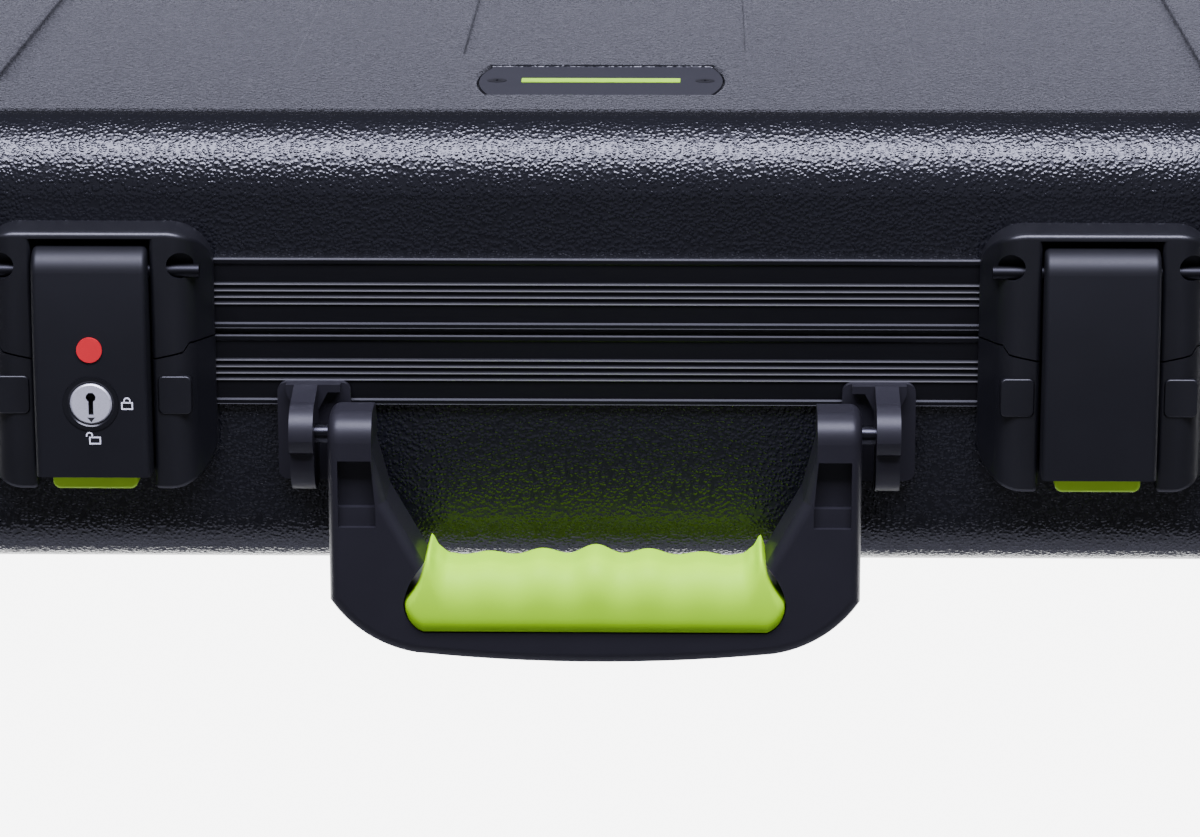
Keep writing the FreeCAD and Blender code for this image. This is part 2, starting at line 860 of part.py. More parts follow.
def rod_x(name, radius, length):
    """Round pin about its own x axis."""
    body = new_body(name)
    pad(body, "rod", draw(body, "round", "YZ_Plane", circles(radius, ("0", "0"))), length, both=True)
    return body


PIN = ("-pin_out", "pin_rise")
SKIN = "(lever_front - lever_skin)"


def lever(name, side, locking):
    """Hollow lever that turns on a pin in the upper housing."""
    body = new_body(f"latch_lever_{name}")
    run = "(pin_out - lever_back)"
    reach, rise = "(lever_front - pin_out)", "(pin_rise + lever_crown_drop)"
    bow = f"(({reach} ^ 2 + {rise} ^ 2 - lever_barrel ^ 2) / (2 * ({reach} - lever_barrel)))"
    turn_out = f"-pin_out - lever_barrel * ({bow} - {reach}) / ({bow} - lever_barrel)"
    turn_up = f"pin_rise + lever_barrel * {rise} / ({bow} - lever_barrel)"
    back_rise = f"pin_rise - sqrt(lever_barrel * lever_barrel - {run} * {run})"
    outline = [
        ("-pin_out", "pin_rise + lever_barrel", 1, "lever_barrel"),
        (turn_out, turn_up, 1, bow),
        ("-lever_front", "-lever_crown_drop"),
        ("-lever_front", "-lever_drop"),
        ("-lever_back", "-lever_drop"),
        ("-lever_back", back_rise, 1, "lever_barrel"),
    ]
    pad(body, "block", draw(body, "side", "YZ_Plane", [outline]), "lever_width", both=True)
    faced = every(within(y1=turn_out), lambda edge: not along("x")(edge))
    blend(body, "front_round", "lever_round", faced)
    low = "-lever_drop - overrun"
    room = box_loop(f"-{SKIN}", low, "0", "lever_hollow_top")
    inside = "lever_width - lever_side * 2"
    pocket(body, "hollow", draw(body, "room", "YZ_Plane", [room]), inside, both=True)
    through_x(body, "pin_hole", PIN, "pin_diameter / 2 + fit_gap", "lever_width * 2")
    if locking:
        spot = ("0", "-lock_drop")
        front = "lever_front + overrun"
        bore = circles("lock_diameter / 2 + fit_gap", spot)
        opened(body, "lock_bore", bore, front, "lever_skin + overrun * 2")
        dish = circles("lock_ring_diameter / 2 + fit_gap", spot)
        opened(body, "ring_seat", dish, front, "lock_ring_thick + overrun")
        spot = ("0", "-mark_drop")
        dot = circles("mark_diameter / 2 + fit_gap", spot)
        opened(body, "mark_seat", dot, front, "overrun + mark_seat_depth")
    at_latch(body, side)
    return body


def hook(name, side):
    """Two prongs under a bar, fixed inside the lever in front of the keeper."""
    body = new_body(f"latch_hook_{name}")
    half, inner = "hook_width / 2", "(hook_width / 2 - hook_prong)"
    bar_low = "-hook_top_drop - hook_bar"
    outline = [
        (f"-{half}", "-hook_top_drop"),
        (f"-{half}", "-hook_drop"),
        (f"-{inner}", "-hook_drop"),
        (f"-{inner}", bar_low),
        (inner, bar_low),
        (inner, "-hook_drop"),
        (half, "-hook_drop"),
        (half, "-hook_top_drop"),
    ]
    sketch = draw(body, "outline", "XZ_Plane", [outline], "keeper_out + hook_gap")
    pad(body, "plate", sketch, f"{SKIN} - keeper_out - hook_gap")
    at_latch(body, side)


def keeper(name, side):
    """Steel bar on the lower housing that the hook's prongs bear on."""
    body = new_body(f"latch_keeper_{name}")
    half, middle = "keeper_width / 2", "keeper_thick / 2"
    outline = box_loop(
        f"-{half}", f"-keeper_drop - {middle}", half, f"-keeper_drop + {middle}"
    )
    sketch = draw(body, "outline", "XZ_Plane", [outline], "channel_floor")
    pad(body, "bar", sketch, "keeper_out - channel_floor")
    blend(body, "edges", "keeper_round", level("y", "-keeper_out"))
    at_latch(body, side)


def release_tab(name, side):
    """Button that shows below the lever and slides up behind its skin."""
    body = new_body(f"release_tab_{name}")
    half = "tab_width / 2"
    outline = box_loop(f"-{half}", "-tab_drop", half, "-tab_rise")
    sketch = draw(body, "outline", "XZ_Plane", [outline], "tab_back")
    pad(body, "block", sketch, "tab_front - tab_back")
    blend(body, "corners", "tab_corner", every(along("y"), within(z1="-tab_drop")))
    blend(body, "front_round", "tab_round", level("y", "-tab_front"))
    at_latch(body, side)


PLUG_FLOOR = "(housing_front - plug_depth)"


def plug_loops(grow):
    loops = []
    for sign in ("-", ""):
        x = f"{sign}plug_reach"
        half_x = f"(plug_width / 2 + {grow})"
        half_z = f"(plug_height / 2 + {grow})"
        low, high = f"-plug_drop - {half_z}", f"-plug_drop + {half_z}"
        loops.append(box_loop(f"{x} - {half_x}", low, f"{x} + {half_x}", high))
    return loops


def plugs(name, side):
    """Caps let into the lower housing's cheeks."""
    body = new_body(f"housing_plugs_{name}")
    body.AllowCompound = True
    sketch = draw(body, "outline", "XZ_Plane", plug_loops("-fit_gap"), PLUG_FLOOR)
    pad(body, "caps", sketch, "plug_depth + plug_proud")
    blend(body, "corners", "plug_corner", along("y"))
    blend(body, "front_round", "plug_proud", level("y", "-housing_front - plug_proud"))
    at_latch(body, side)


def latch(name, side, locking):
    """All the pieces of one latch. side is its place along the front."""
    front = "housing_front + overrun"
    upper = housing(f"latch_upper_housing_{name}", side, True)
    bore = "pin_diameter / 2 + fit_gap"
    through_x(upper, "pin_hole", PIN, bore, "pin_length + fit_gap * 2")
    spots = [(f"{sign}window_reach", "window_rise") for sign in ("-", "")]
    windows = circles("window_diameter / 2", *spots)
    opened(upper, "windows", windows, front, f"{front} - window_floor")
    lower = housing(f"latch_lower_housing_{name}", side, False)
    seats = plug_loops("0")
    opened(lower, "plug_seats", seats, front, "plug_depth + overrun")
    deep = within(y0="-housing_front - overrun", y1=f"-{PLUG_FLOOR} + fit_gap")
    near = within(z0="-plug_drop - plug_height", z1="-plug_drop + plug_height")
    blend(lower, "plug_corners", "plug_corner", every(along("y"), deep, near))
    plugs(name, side)
    pin = rod_x(f"latch_pin_{name}", "pin_diameter / 2", "pin_length")
    place(pin, side, f"-({FRONT} + valance_thick + pin_out)", f"{PARTING} + pin_rise")
    lever(name, side, locking)
    hook(name, side)
    keeper(name, side)
    release_tab(name, side)


latch("left", f"-{LATCH_X}", True)
latch("right", LATCH_X, False)

# Key lock in the left lever
LEFT = f"-{LATCH_X}"
LOCK_FRONT = "(lever_front + lock_proud)"
ring = new_body("lock_ring")
spot = ("0", "-lock_drop")
rim = circles("lock_ring_diameter / 2", spot)
hole = circles("lock_diameter / 2 + fit_gap", spot)
rim_sketch = draw(ring, "outline", "XZ_Plane", rim + hole, "lever_front - lock_ring_thick")
pad(ring, "rim", rim_sketch, "lock_ring_thick + lock_proud")
lip = every(
    level("y", f"-{LOCK_FRONT}"),
    lambda edge: edge.BoundBox.XLength < worth("lock_ring_diameter - lock_dish"),
)
blend(ring, "dish", "lock_dish", lip, "Chamfer")
at_latch(ring, LEFT)

cylinder = new_body("lock_cylinder")
plug_sketch = draw(
    cylinder, "round", "XZ_Plane", circles("lock_diameter / 2", spot), f"{LOCK_FRONT} - lock_length"
)
pad(cylinder, "plug", plug_sketch, "lock_length")
blend(cylinder, "rim", "lock_dish", level("y", f"-{LOCK_FRONT}"), "Chamfer")
slot_half, slot_low = "key_slot_width / 2", "-lock_drop - key_slot_height / 2"
slot = [box_loop(f"-{slot_half}", slot_low, slot_half, "-lock_drop + key_slot_height / 2")]
opened(cylinder, "key_slot", slot, f"{LOCK_FRONT} + overrun", "key_slot_sink + overrun")
head = circles("key_head / 2", ("0", "-lock_drop + key_slot_height / 2 - key_head / 2"))
opened(cylinder, "key_head", head, f"{LOCK_FRONT} + overrun", "key_slot_sink + overrun")
at_latch(cylinder, LEFT)

cam = new_body("lock_cam")
cam_half = "cam_width / 2"
cam_loop = [
    (f"-{cam_half}", "-lock_drop"),
    (f"-{cam_half}", "-lock_drop - cam_reach + cam_width / 2", 1, cam_half),
    ("0", "-lock_drop - cam_reach", 1, cam_half),
    (cam_half, "-lock_drop - cam_reach + cam_width / 2"),
    (cam_half, "-lock_drop", 1, cam_half),
    ("0", "-lock_drop + cam_width / 2", 1, cam_half),
]
cam_sketch = draw(cam, "outline", "XZ_Plane", [cam_loop], f"{LOCK_FRONT} - lock_length - cam_thick")
pad(cam, "plate", cam_sketch, "cam_thick")
at_latch(cam, LEFT)

mark = new_body("latch_mark")
dot = circles("mark_diameter / 2", ("0", "-mark_drop"))
dot_sketch = draw(mark, "round", "XZ_Plane", dot, "lever_front - mark_seat_depth")
pad(mark, "disc", dot_sketch, "mark_seat_depth + mark_proud")
at_latch(mark, LEFT)

# Handle: a frame with a soft grip let into it. Local origin on the pivot's axis.
HALF_HANDLE = "(handle_width / 2)"
HANDLE_FACE = "(handle_thick / 2)"


def at_pivot(body, x="0"):
    place(body, x, f"-({FRONT} + pivot_out)", f"{PARTING} - pivot_drop")


def mirrored(chain):
    """The chain of corners on the other side, run the other way."""
    corners = []
    for i in reversed(range(len(chain))):
        x, z = chain[i][:2]
        arc = chain[i - 1][2:] if i else ()
        corners.append((f"-({x})", z, *arc))
    return corners


LOBE_X = f"({HALF_HANDLE} - grip_lobe_inset)"
BOTTOM_X = f"({HALF_HANDLE} - bottom_curve_inset)"
BUMP_PITCH = f"(({HALF_HANDLE} - grip_bump_inset) * 2 / 5)"
SHOULDER = (f"{HALF_HANDLE} - grip_shoulder_inset", "-grip_shoulder_drop")
LOBE = (LOBE_X, "-grip_lobe_drop")
LOW = (f"{HALF_HANDLE} - grip_low_inset", "-grip_low_drop")

frame = new_body("handle_frame")
outside = [
    (f"{HALF_HANDLE} - arm_top_width", "knuckle_rise"),
    (HALF_HANDLE, "knuckle_rise"),
    (HALF_HANDLE, "-corner_drop", -1, "corner_curve_radius"),
    (BOTTOM_X, "-bottom_curve_drop", -1, f"{BOTTOM_X} * bottom_curve_share"),
]
inside = [
    (*LOW, 1, "grip_lobe_radius"),
    (*LOBE, 1, "grip_shoulder_radius"),
    SHOULDER,
    (f"{HALF_HANDLE} - arm_mid_width", "-arm_mid_drop"),
    (f"{HALF_HANDLE} - arm_top_width", "-arm_top_drop"),
]
outline = outside + mirrored(outside) + mirrored(inside) + inside
frame_sketch = draw(frame, "outline", "XZ_Plane", [outline])
pad(frame, "block", frame_sketch, "handle_thick", both=True)
tops = every(along("x"), within(z0="knuckle_rise"))
blend(frame, "knuckles", "knuckle_rise - knuckle_flat", tops)


def not_in_grip(edge):
    """The edges that stay clear of the grip and of the knuckles' flat tops."""
    centre = edge.BoundBox.Center
    beside = abs(centre.x) > worth(LOBE_X) or centre.z > -worth("grip_shoulder_drop")
    below = centre.z < -worth("grip_low_drop + handle_round")
    return (beside or below) and centre.z < worth("-arm_top_drop")


faces = (level("y", HANDLE_FACE), level("y", f"-{HANDLE_FACE}"))
rims = every(lambda edge: any(face(edge) for face in faces), not_in_grip)
blend(frame, "rims", "handle_round", rims)
pocket_out = f"({HALF_HANDLE} - arm_pocket_inset)"
pocket_in = f"({pocket_out} - arm_pocket_width)"
pocket_low = "(-arm_pocket_drop - arm_pocket_height)"
step_high = f"({pocket_low} + arm_pocket_step_height)"
deep_right = [
    (pocket_out, "-arm_pocket_drop"),
    (pocket_out, step_high),
    (f"{pocket_in} - arm_pocket_lean", step_high),
    (pocket_in, "-arm_pocket_drop"),
]
step_right = [
    (pocket_out, step_high),
    (pocket_out, pocket_low),
    (f"{pocket_in} - arm_pocket_lean", pocket_low),
    (f"{pocket_in} - arm_pocket_lean", step_high),
]
deep = [deep_right, mirrored(deep_right)]
step = [step_right, mirrored(step_right)]
opened(frame, "arm_pockets", deep, HANDLE_FACE, "arm_pocket_sink")
opened(frame, "arm_steps", step, HANDLE_FACE, "arm_pocket_step_sink")


def blind_x(body, name, radius, mouth, depth, sign):
    """Blind hole along x into the piece from a mouth on the side of this sign."""
    outer = f"{sign}({mouth} + overrun)"
    sketch = draw(body, name, "YZ_Plane", circles(radius, ("0", "0")), outer)
    pocket(body, f"{name}_cut", sketch, f"{depth} + overrun", back=sign == "-")


for name, sign in (("left", "-"), ("right", "")):
    hole_radius = "pivot_pin_diameter / 2 + fit_gap"
    depth = "pivot_pin_depth + fit_gap"
    blind_x(frame, f"{name}_pivot", hole_radius, HALF_HANDLE, depth, sign)
at_pivot(frame)

grip = new_body("handle_grip")
valley = "-grip_valley_drop"
right = [
    (f"{BUMP_PITCH} / 2", valley, -1, "next_bump_radius"),
    (f"{BUMP_PITCH} * 3 / 2", valley, -1, "end_bump_radius"),
    (f"{BUMP_PITCH} * 5 / 2", valley),
    (f"{HALF_HANDLE} - grip_spur_inset", "-grip_spur_drop"),
    (*SHOULDER, -1, "grip_shoulder_radius"),
    (*LOBE, -1, "grip_lobe_radius"),
    LOW,
]
left = mirrored(right)
left[-1] = left[-1] + (-1, "mid_bump_radius")
grip_sketch = draw(grip, "outline", "XZ_Plane", [right + left])
pad(grip, "block", grip_sketch, "grip_thick", both=True)
grip_face = "(grip_thick / 2)"
crest = "(-grip_spur_drop + overrun)"
rounds = []
ends = []
for sign in ("-", ""):
    beyond = f"{sign}({grip_face} + overrun)"
    face = f"{sign}{grip_face}"
    crown = f"{sign}({grip_face} - grip_crown_inset)"
    sole = f"{sign}({grip_face} - grip_sole_inset)"
    crown_low = "-grip_valley_drop - grip_crown_drop"
    arc = (1, "grip_crown_radius") if sign == "" else (-1, "grip_crown_radius")
    rounds.append(
        [
            (beyond, crown_low),
            (face, crown_low, *arc),
            (crown, "-grip_spur_drop"),
            (crown, crest),
            (beyond, crest),
        ]
    )
    rounds.append(
        [
            (beyond, "-grip_low_drop + grip_sole_rise"),
            (face, "-grip_low_drop + grip_sole_rise"),
            (sole, "-grip_low_drop"),
            (sole, "-grip_low_drop - overrun"),
            (beyond, "-grip_low_drop - overrun"),
        ]
    )
    for end in ("-", ""):
        lobe_x = f"{end}{LOBE_X}"
        inner_x = f"{end}({LOBE_X} - grip_end_inset)"
        far_x = f"{end}({LOBE_X} + overrun)"
        cheek = f"{sign}({grip_face} - grip_end_cheek)"
        ends.append(
            [
                (inner_x, beyond),
                (inner_x, face),
                (lobe_x, cheek),
                (far_x, cheek),
                (far_x, beyond),
            ]
        )
long_cuts = draw(grip, "long_rounds", "YZ_Plane", rounds)
pocket(grip, "long_round_cuts", long_cuts, "handle_width", both=True)
end_cuts = draw(grip, "end_slopes", "XY_Plane", ends)
pocket(grip, "end_slope_cuts", end_cuts, "grip_low_drop * 4", both=True)
at_pivot(grip)


def bracket(name, sign):
    """Ear and base plate that carry one end of the handle."""
    body = new_body(f"handle_bracket_{name}")
    face = "-pivot_out"
    inner = f"{sign}({HALF_HANDLE} - bracket_inner)"
    outer = f"{sign}{BRACKET_X}"
    foot = box_loop(inner, "-bracket_drop", outer, "bracket_rise")
    pad(body, "plate", draw(body, "foot", "XZ_Plane", [foot], face), "bracket_plate")
    blend(body, "plate_corners", "bracket_corner", along("y"))
    wing_low = "bracket_rise - wing_thick"
    inner_in = f"{sign}({HALF_HANDLE} - bracket_inner + bracket_corner)"
    outer_in = f"{sign}({BRACKET_X} - bracket_corner)"
    neck = "bracket_rise - wing_slope_drop"
    ear_in = f"{sign}({HALF_HANDLE} + bracket_gap)"
    ear_out = f"{sign}({HALF_HANDLE} + bracket_gap + ear_thick)"
    wing = [
        (inner_in, "bracket_rise"),
        (inner_in, wing_low),
        (f"{sign}({HALF_HANDLE} + bracket_gap - wing_slope_run)", wing_low),
        (ear_in, neck),
        (ear_out, neck),
        (outer_in, wing_low),
        (outer_in, "bracket_rise"),
    ]
    pad(body, "wing", draw(body, "hood", "XZ_Plane", [wing], face), "wing_reach")
    lobe = "ear_radius * lobe_drop_share"
    crease = "-ear_radius * crease_drop_share"
    notch = "-ear_radius * (1 - crease_depth_share * crease_drop_share)"
    ear = [
        ("pivot_out", "bracket_rise"),
        ("pivot_out - wing_reach", "bracket_rise"),
        ("0", "ear_radius", 1, "ear_radius"),
        ("-ear_radius", "0", 1, "ear_radius"),
        (notch, crease),
        (f"{notch} + ear_round", f"{crease} - ear_round / 2", 1, "ear_lobe_radius"),
        (lobe, "-bracket_drop"),
        ("pivot_out", "-bracket_drop"),
    ]
    side = draw(body, "ear_outline", "YZ_Plane", [ear], ear_in)
    pad(body, "ear", side, "ear_thick", back=sign == "-")
    low = f"pivot_drop - {HALF_GAP} - valance_height - running_gap"
    relief = box_loop(inner, low, outer, "bracket_rise + overrun")
    behind = draw(body, "relief", "XZ_Plane", [relief], "-pivot_out - overrun")
    depth = f"{BEAD_FACE} + overrun + fit_gap"
    pocket(body, "valance_room", behind, depth, back=True)
    hole_radius = "pivot_pin_diameter / 2 + fit_gap"
    hole = draw(body, "pin_seat", "YZ_Plane", circles(hole_radius, ("0", "0")), ear_in)
    pocket(body, "pin_seat_cut", hole, "pivot_pin_seat + fit_gap", back=sign != "-")
    at_pivot(body)
    length = "(pivot_pin_seat + bracket_gap + pivot_pin_depth)"
    pin = rod_x(f"handle_pin_{name}", "pivot_pin_diameter / 2", length)
    at_pivot(pin, f"{sign}({HALF_HANDLE} + bracket_gap + pivot_pin_seat - {length} / 2)")


bracket("left", "-")
bracket("right", "")

# Name plate let into the lid, left bare but for a plain stripe
PLATE_LOW = f"({LID_TOP} - panel_sink)"
PLATE_TOP = f"({LID_TOP} - panel_sink + plate_thick)"
plate = new_body("name_plate")
pad(plate, "sheet", draw(plate, "outline", "XY_Plane", [bowed_loop("0")], PLATE_LOW), "plate_thick")
spots = [(x, PLATE_Y) for x in screw_places()]
bores = draw(plate, "bores", "XY_Plane", circles("screw_shank / 2 + fit_gap", *spots), PLATE_TOP)
pocket(plate, "bore_cuts", bores, "plate_thick")
seats = draw(plate, "head_seats", "XY_Plane", circles("screw_head / 2 + fit_gap", *spots), PLATE_TOP)
pocket(plate, "head_seat_cuts", seats, "screw_head_sink")

screws = new_body("plate_screws")
screws.AllowCompound = True
head_low = f"({PLATE_TOP} - screw_head_sink)"
heads = draw(screws, "heads", "XY_Plane", circles("screw_head / 2", *spots), head_low)
pad(screws, "head", heads, "screw_head_height")
shanks = draw(screws, "shanks", "XY_Plane", circles("screw_shank / 2", *spots), head_low)
pad(screws, "shank", shanks, "screw_length", back=True)
bars = []
for x, y in spots:
    for long, short in (("recess_width", "recess_bar"), ("recess_bar", "recess_width")):
        low_x, high_x = f"{x} - {long} / 2", f"{x} + {long} / 2"
        bars.append(box_loop(low_x, f"{y} - {short} / 2", high_x, f"{y} + {short} / 2"))
head_top = f"{head_low} + screw_head_height"
for i, pair in enumerate((bars[0::2], bars[1::2])):
    cross = draw(screws, f"recess_{i}", "XY_Plane", pair, head_top)
    pocket(screws, f"recess_{i}_cut", cross, "recess_sink")

stripe = new_body("plate_stripe")
half = "stripe_width / 2"
stripe_low, stripe_high = (f"{PLATE_Y} {way} stripe_depth / 2" for way in "-+")
stripe_loop = box_loop(f"-{half}", stripe_low, half, stripe_high)
pad(stripe, "band", draw(stripe, "outline", "XY_Plane", [stripe_loop], PLATE_TOP), "stripe_thick")


# Rear hinges. Local origin on the hinge's axis, the leaves towards local -y.
LEAF_BACK = "(hinge_stand_off + knuckle_radius)"
HALF_HINGE = "(hinge_width / 2)"
INNER_KNUCKLE = "(hinge_width / 2 - hinge_width * hinge_outer_share)"


def hinge_leaf(name, side, upper):
    body = new_body(f"{'lid' if upper else 'base'}_hinge_leaf_{name}")
    way = "" if upper else "-"
    low, high = f"{way}hinge_leaf_start", f"{way}(hinge_leaf_start + hinge_leaf_height)"
    outline = box_loop(f"-{HALF_HINGE}", low, HALF_HINGE, high)
    sketch = draw(body, "outline", "XZ_Plane", [outline], LEAF_BACK)
    pad(body, "leaf", sketch, "hinge_leaf", back=True)
    middle = [(f"-{INNER_KNUCKLE}", f"{INNER_KNUCKLE} * 2", "knuckle_gap / 2")]
    ends = [
        (f"-{HALF_HINGE}", f"{HALF_HINGE} - {INNER_KNUCKLE}", "knuckle_gap / 2"),
        (INNER_KNUCKLE, f"{HALF_HINGE} - {INNER_KNUCKLE}", "knuckle_gap / 2"),
    ]
    own, other = (middle, ends) if upper else (ends, middle)
    for i, (start, length, gap) in enumerate(other):
        clear = circles("knuckle_radius + knuckle_gap", ("0", "0"))
        zone = draw(body, f"room_{i}", "YZ_Plane", clear, f"{start} - {gap}")
        pocket(body, f"room_{i}_cut", zone, f"{length} + {gap} * 2", back=True)
    for i, (start, length, gap) in enumerate(own):
        round_loop = circles("knuckle_radius", ("0", "0"))
        zone = draw(body, f"knuckle_{i}", "YZ_Plane", round_loop, f"{start} + {gap}")
        pad(body, f"knuckle_{i}_barrel", zone, f"{length} - {gap} * 2")
    through_x(body, "pin_hole", ("0", "0"), "hinge_pin_diameter / 2 + fit_gap", "hinge_width * 2")
    place(body, side, HINGE_Y, PARTING)


def hinge_rivets(name, upper):
    """The rivet heads of both hinges on one half of the case."""
    body = new_body(name)
    body.AllowCompound = True
    way = "" if upper else "-"
    z = f"{way}(hinge_leaf_start + hinge_leaf_height * rivet_rise_share)"
    spots = []
    for side in ("-", ""):
        for end in ("-", "+"):
            spots.append((f"{side}{HINGE_X} {end} rivet_spacing / 2", z))
    heads = circles("rivet_diameter / 2", *spots)
    sketch = draw(body, "heads", "XZ_Plane", heads, f"{LEAF_BACK} - hinge_leaf")
    pad(body, "head", sketch, "rivet_height", back=True)
    crown = f"hinge_leaf + rivet_height - {LEAF_BACK}"
    blend(body, "crowns", "rivet_height / 2", level("y", crown))
    place(body, "0", HINGE_Y, PARTING)


for name, side in (("left", f"-{HINGE_X}"), ("right", HINGE_X)):
    hinge_leaf(name, side, False)
    hinge_leaf(name, side, True)
    pin = rod_x(f"hinge_pin_{name}", "hinge_pin_diameter / 2", "hinge_width")
    place(pin, side, HINGE_Y, PARTING)
hinge_rivets("base_hinge_rivets", False)
hinge_rivets("lid_hinge_rivets", True)

# Checks, then one file a piece
doc.recompute()
for item in doc.Objects:
    if "Invalid" in item.State or "Error" in item.State:
        raise ValueError(f"{item.Name} failed: {item.State}")
os.makedirs("parts", exist_ok=True)
for body in solids:
    if body.Shape.isNull() or not body.Shape.isValid():
        raise ValueError(f"{body.Label} is not a sound solid")
for body in solids:
    body.Shape.exportStep(os.path.join("parts", f"{body.Label}.step"))
    print(body.Label, len(body.Shape.Solids), round(body.Shape.Volume))
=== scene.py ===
import math

import bmesh
import bpy
from mathutils import Matrix, Vector


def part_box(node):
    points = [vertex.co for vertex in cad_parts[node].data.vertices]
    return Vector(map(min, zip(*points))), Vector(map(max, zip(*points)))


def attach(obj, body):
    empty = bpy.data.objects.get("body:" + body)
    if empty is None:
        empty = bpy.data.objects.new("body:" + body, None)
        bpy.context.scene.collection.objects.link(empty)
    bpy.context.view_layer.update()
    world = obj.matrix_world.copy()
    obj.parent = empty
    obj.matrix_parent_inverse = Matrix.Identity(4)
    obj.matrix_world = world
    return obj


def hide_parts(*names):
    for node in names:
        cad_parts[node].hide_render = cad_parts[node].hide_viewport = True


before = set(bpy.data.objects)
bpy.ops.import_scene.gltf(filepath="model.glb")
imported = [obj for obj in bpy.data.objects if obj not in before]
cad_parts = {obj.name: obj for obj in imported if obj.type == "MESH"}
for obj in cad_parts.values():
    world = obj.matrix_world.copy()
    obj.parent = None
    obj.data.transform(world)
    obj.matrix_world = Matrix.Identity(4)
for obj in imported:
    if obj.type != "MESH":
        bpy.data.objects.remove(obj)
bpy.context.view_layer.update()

bl_info = {
    "name": "Microphone Case",
    "version": (1, 0, 0),
    "blender": (4, 5, 0),
    "location": "3D View > Sidebar > Case",
    "description": "Finishes, foam and small details of a hard-shell microphone case",
    "category": "Object",
}

# Colours of the small parts, and the thickness of the ink
WHITE = (1.0, 1.0, 1.0, 1.0)
INK_WHITE = (0.8, 0.8, 0.82)
INK_DEPTH = 6e-5
DOT_RED = (0.55, 0.012, 0.02)
SEAL_BLACK = (0.02, 0.02, 0.021)
PLATE_BLACK = (0.011, 0.011, 0.0135)
SCREW_BLACK = (0.006, 0.006, 0.007)
BRIGHT_STEEL = (0.72, 0.72, 0.74, 1.0)
PIN_STEEL = (0.7, 0.7, 0.72, 1.0)
CAM_STEEL = (0.6, 0.6, 0.62, 1.0)
HINGE_STEEL = (0.3, 0.3, 0.31, 1.0)
DARK_STEEL = (0.035, 0.035, 0.04, 1.0)
# near-black steel for the latch pins: painted shade, as the pins sit deep in the housings'
# windows
SHADED_PIN_STEEL = (0.022, 0.022, 0.024, 1.0)


# Node trees


class Wire:
    """An output socket for use in Python sums: each operator adds a Math node."""

    def __init__(self, tree, socket):
        self.tree = tree
        self.socket = socket

    def maths(self, operation, *terms, **settings):
        settings["operation"] = operation
        return self.tree.node("ShaderNodeMath", settings, dict(enumerate(terms)))

    def __add__(self, other):
        return self.maths("ADD", self, other)

    def __radd__(self, other):
        return self.maths("ADD", other, self)

    def __sub__(self, other):
        return self.maths("SUBTRACT", self, other)

    def __rsub__(self, other):
        return self.maths("SUBTRACT", other, self)

    def __mul__(self, other):
        return self.maths("MULTIPLY", self, other)

    def __rmul__(self, other):
        return self.maths("MULTIPLY", other, self)

    def __truediv__(self, other):
        return self.maths("DIVIDE", self, other)

    def __pow__(self, other):
        return self.maths("POWER", self, other)

    def __lt__(self, other):
        return self.maths("LESS_THAN", self, other)

    def __abs__(self):
        return self.maths("ABSOLUTE", self)


class Tree:
    """The nodes of one material or one geometry tree."""

    def __init__(self, nodes):
        self.nodes = nodes
        nodes.nodes.clear()

    def node(self, kind, settings=None, inputs=None, output=0):
        """A new node with its settings, then the values or links of its sockets."""
        made = self.nodes.nodes.new(kind)
        for key, value in (settings or {}).items():
            if key == "stops":
                self.set_stops(made.color_ramp, value)
            else:
                setattr(made, key, value)
        for key, value in (inputs or {}).items():
            socket = made.inputs[key]
            if isinstance(value, Wire):
                self.nodes.links.new(value.socket, socket)
            else:
                socket.default_value = value
        return Wire(self, made.outputs[output]) if made.outputs else None

    def set_stops(self, ramp, stops):
        while len(ramp.elements) < len(stops):
            ramp.elements.new(1.0)
        for element, (place, colour) in zip(ramp.elements, stops):
            element.position = place
            element.color = colour

    def mix(self, factor, a, b):
        """Colour that goes from a to b as the factor goes from 0 to 1."""
        settings = {"data_type": "RGBA", "clamp_factor": True}
        return self.node("ShaderNodeMix", settings, {0: factor, 6: a, 7: b}, 2)

    def noise(self, place, size, detail=2.0, roughness=0.5):
        """Noise from 0 to 1 whose features are about this large, in metres."""
        inputs = {"Vector": place, "Scale": 1 / size, "Detail": detail}
        inputs["Roughness"] = roughness
        return self.node("ShaderNodeTexNoise", None, inputs)

    def smooth(self, value, low, high):
        """0 below low and 1 above high, with an even turn between them."""
        inputs = {"Value": value, "From Min": low, "From Max": high}
        return self.node("ShaderNodeMapRange", {"interpolation_type": "SMOOTHSTEP"}, inputs)

    def larger(self, a, b):
        return self.node("ShaderNodeMath", {"operation": "MAXIMUM"}, {0: a, 1: b})

    def smaller(self, a, b):
        return self.node("ShaderNodeMath", {"operation": "MINIMUM"}, {0: a, 1: b})

    def cosine(self, value):
        return self.node("ShaderNodeMath", {"operation": "COSINE"}, {0: value})

    def sign(self, value):
        return self.node("ShaderNodeMath", {"operation": "SIGN"}, {0: value})

    def stretched(self, place, shares):
        """The place with each coordinate multiplied, which draws a pattern out."""
        inputs = {0: place, 1: shares}
        return self.node("ShaderNodeVectorMath", {"operation": "MULTIPLY"}, inputs)

    def axes(self, place):
        split = self.nodes.nodes.new("ShaderNodeSeparateXYZ")
        self.nodes.links.new(place.socket, split.inputs[0])
        return [Wire(self, socket) for socket in split.outputs]

    def bump(self, height, depth):
        """A normal that follows a height from 0 to 1, which stands this deep, in metres."""
        return self.node("ShaderNodeBump", None, {"Distance": depth, "Height": height})


def material(name, build, **fixed):
    """A material: build gives the inputs that vary over the surface, fixed the others."""
    made = bpy.data.materials.new(name)
    made.use_nodes = True
    tree = Tree(made.node_tree)
    place = tree.node("ShaderNodeTexCoord", None, None, "Object")
    inputs = {key.replace("_", " "): value for key, value in fixed.items()}
    inputs.update(build(tree, place))
    shader = tree.node("ShaderNodeBsdfPrincipled", None, inputs)
    tree.node("ShaderNodeOutputMaterial", None, {"Surface": shader})
    return made


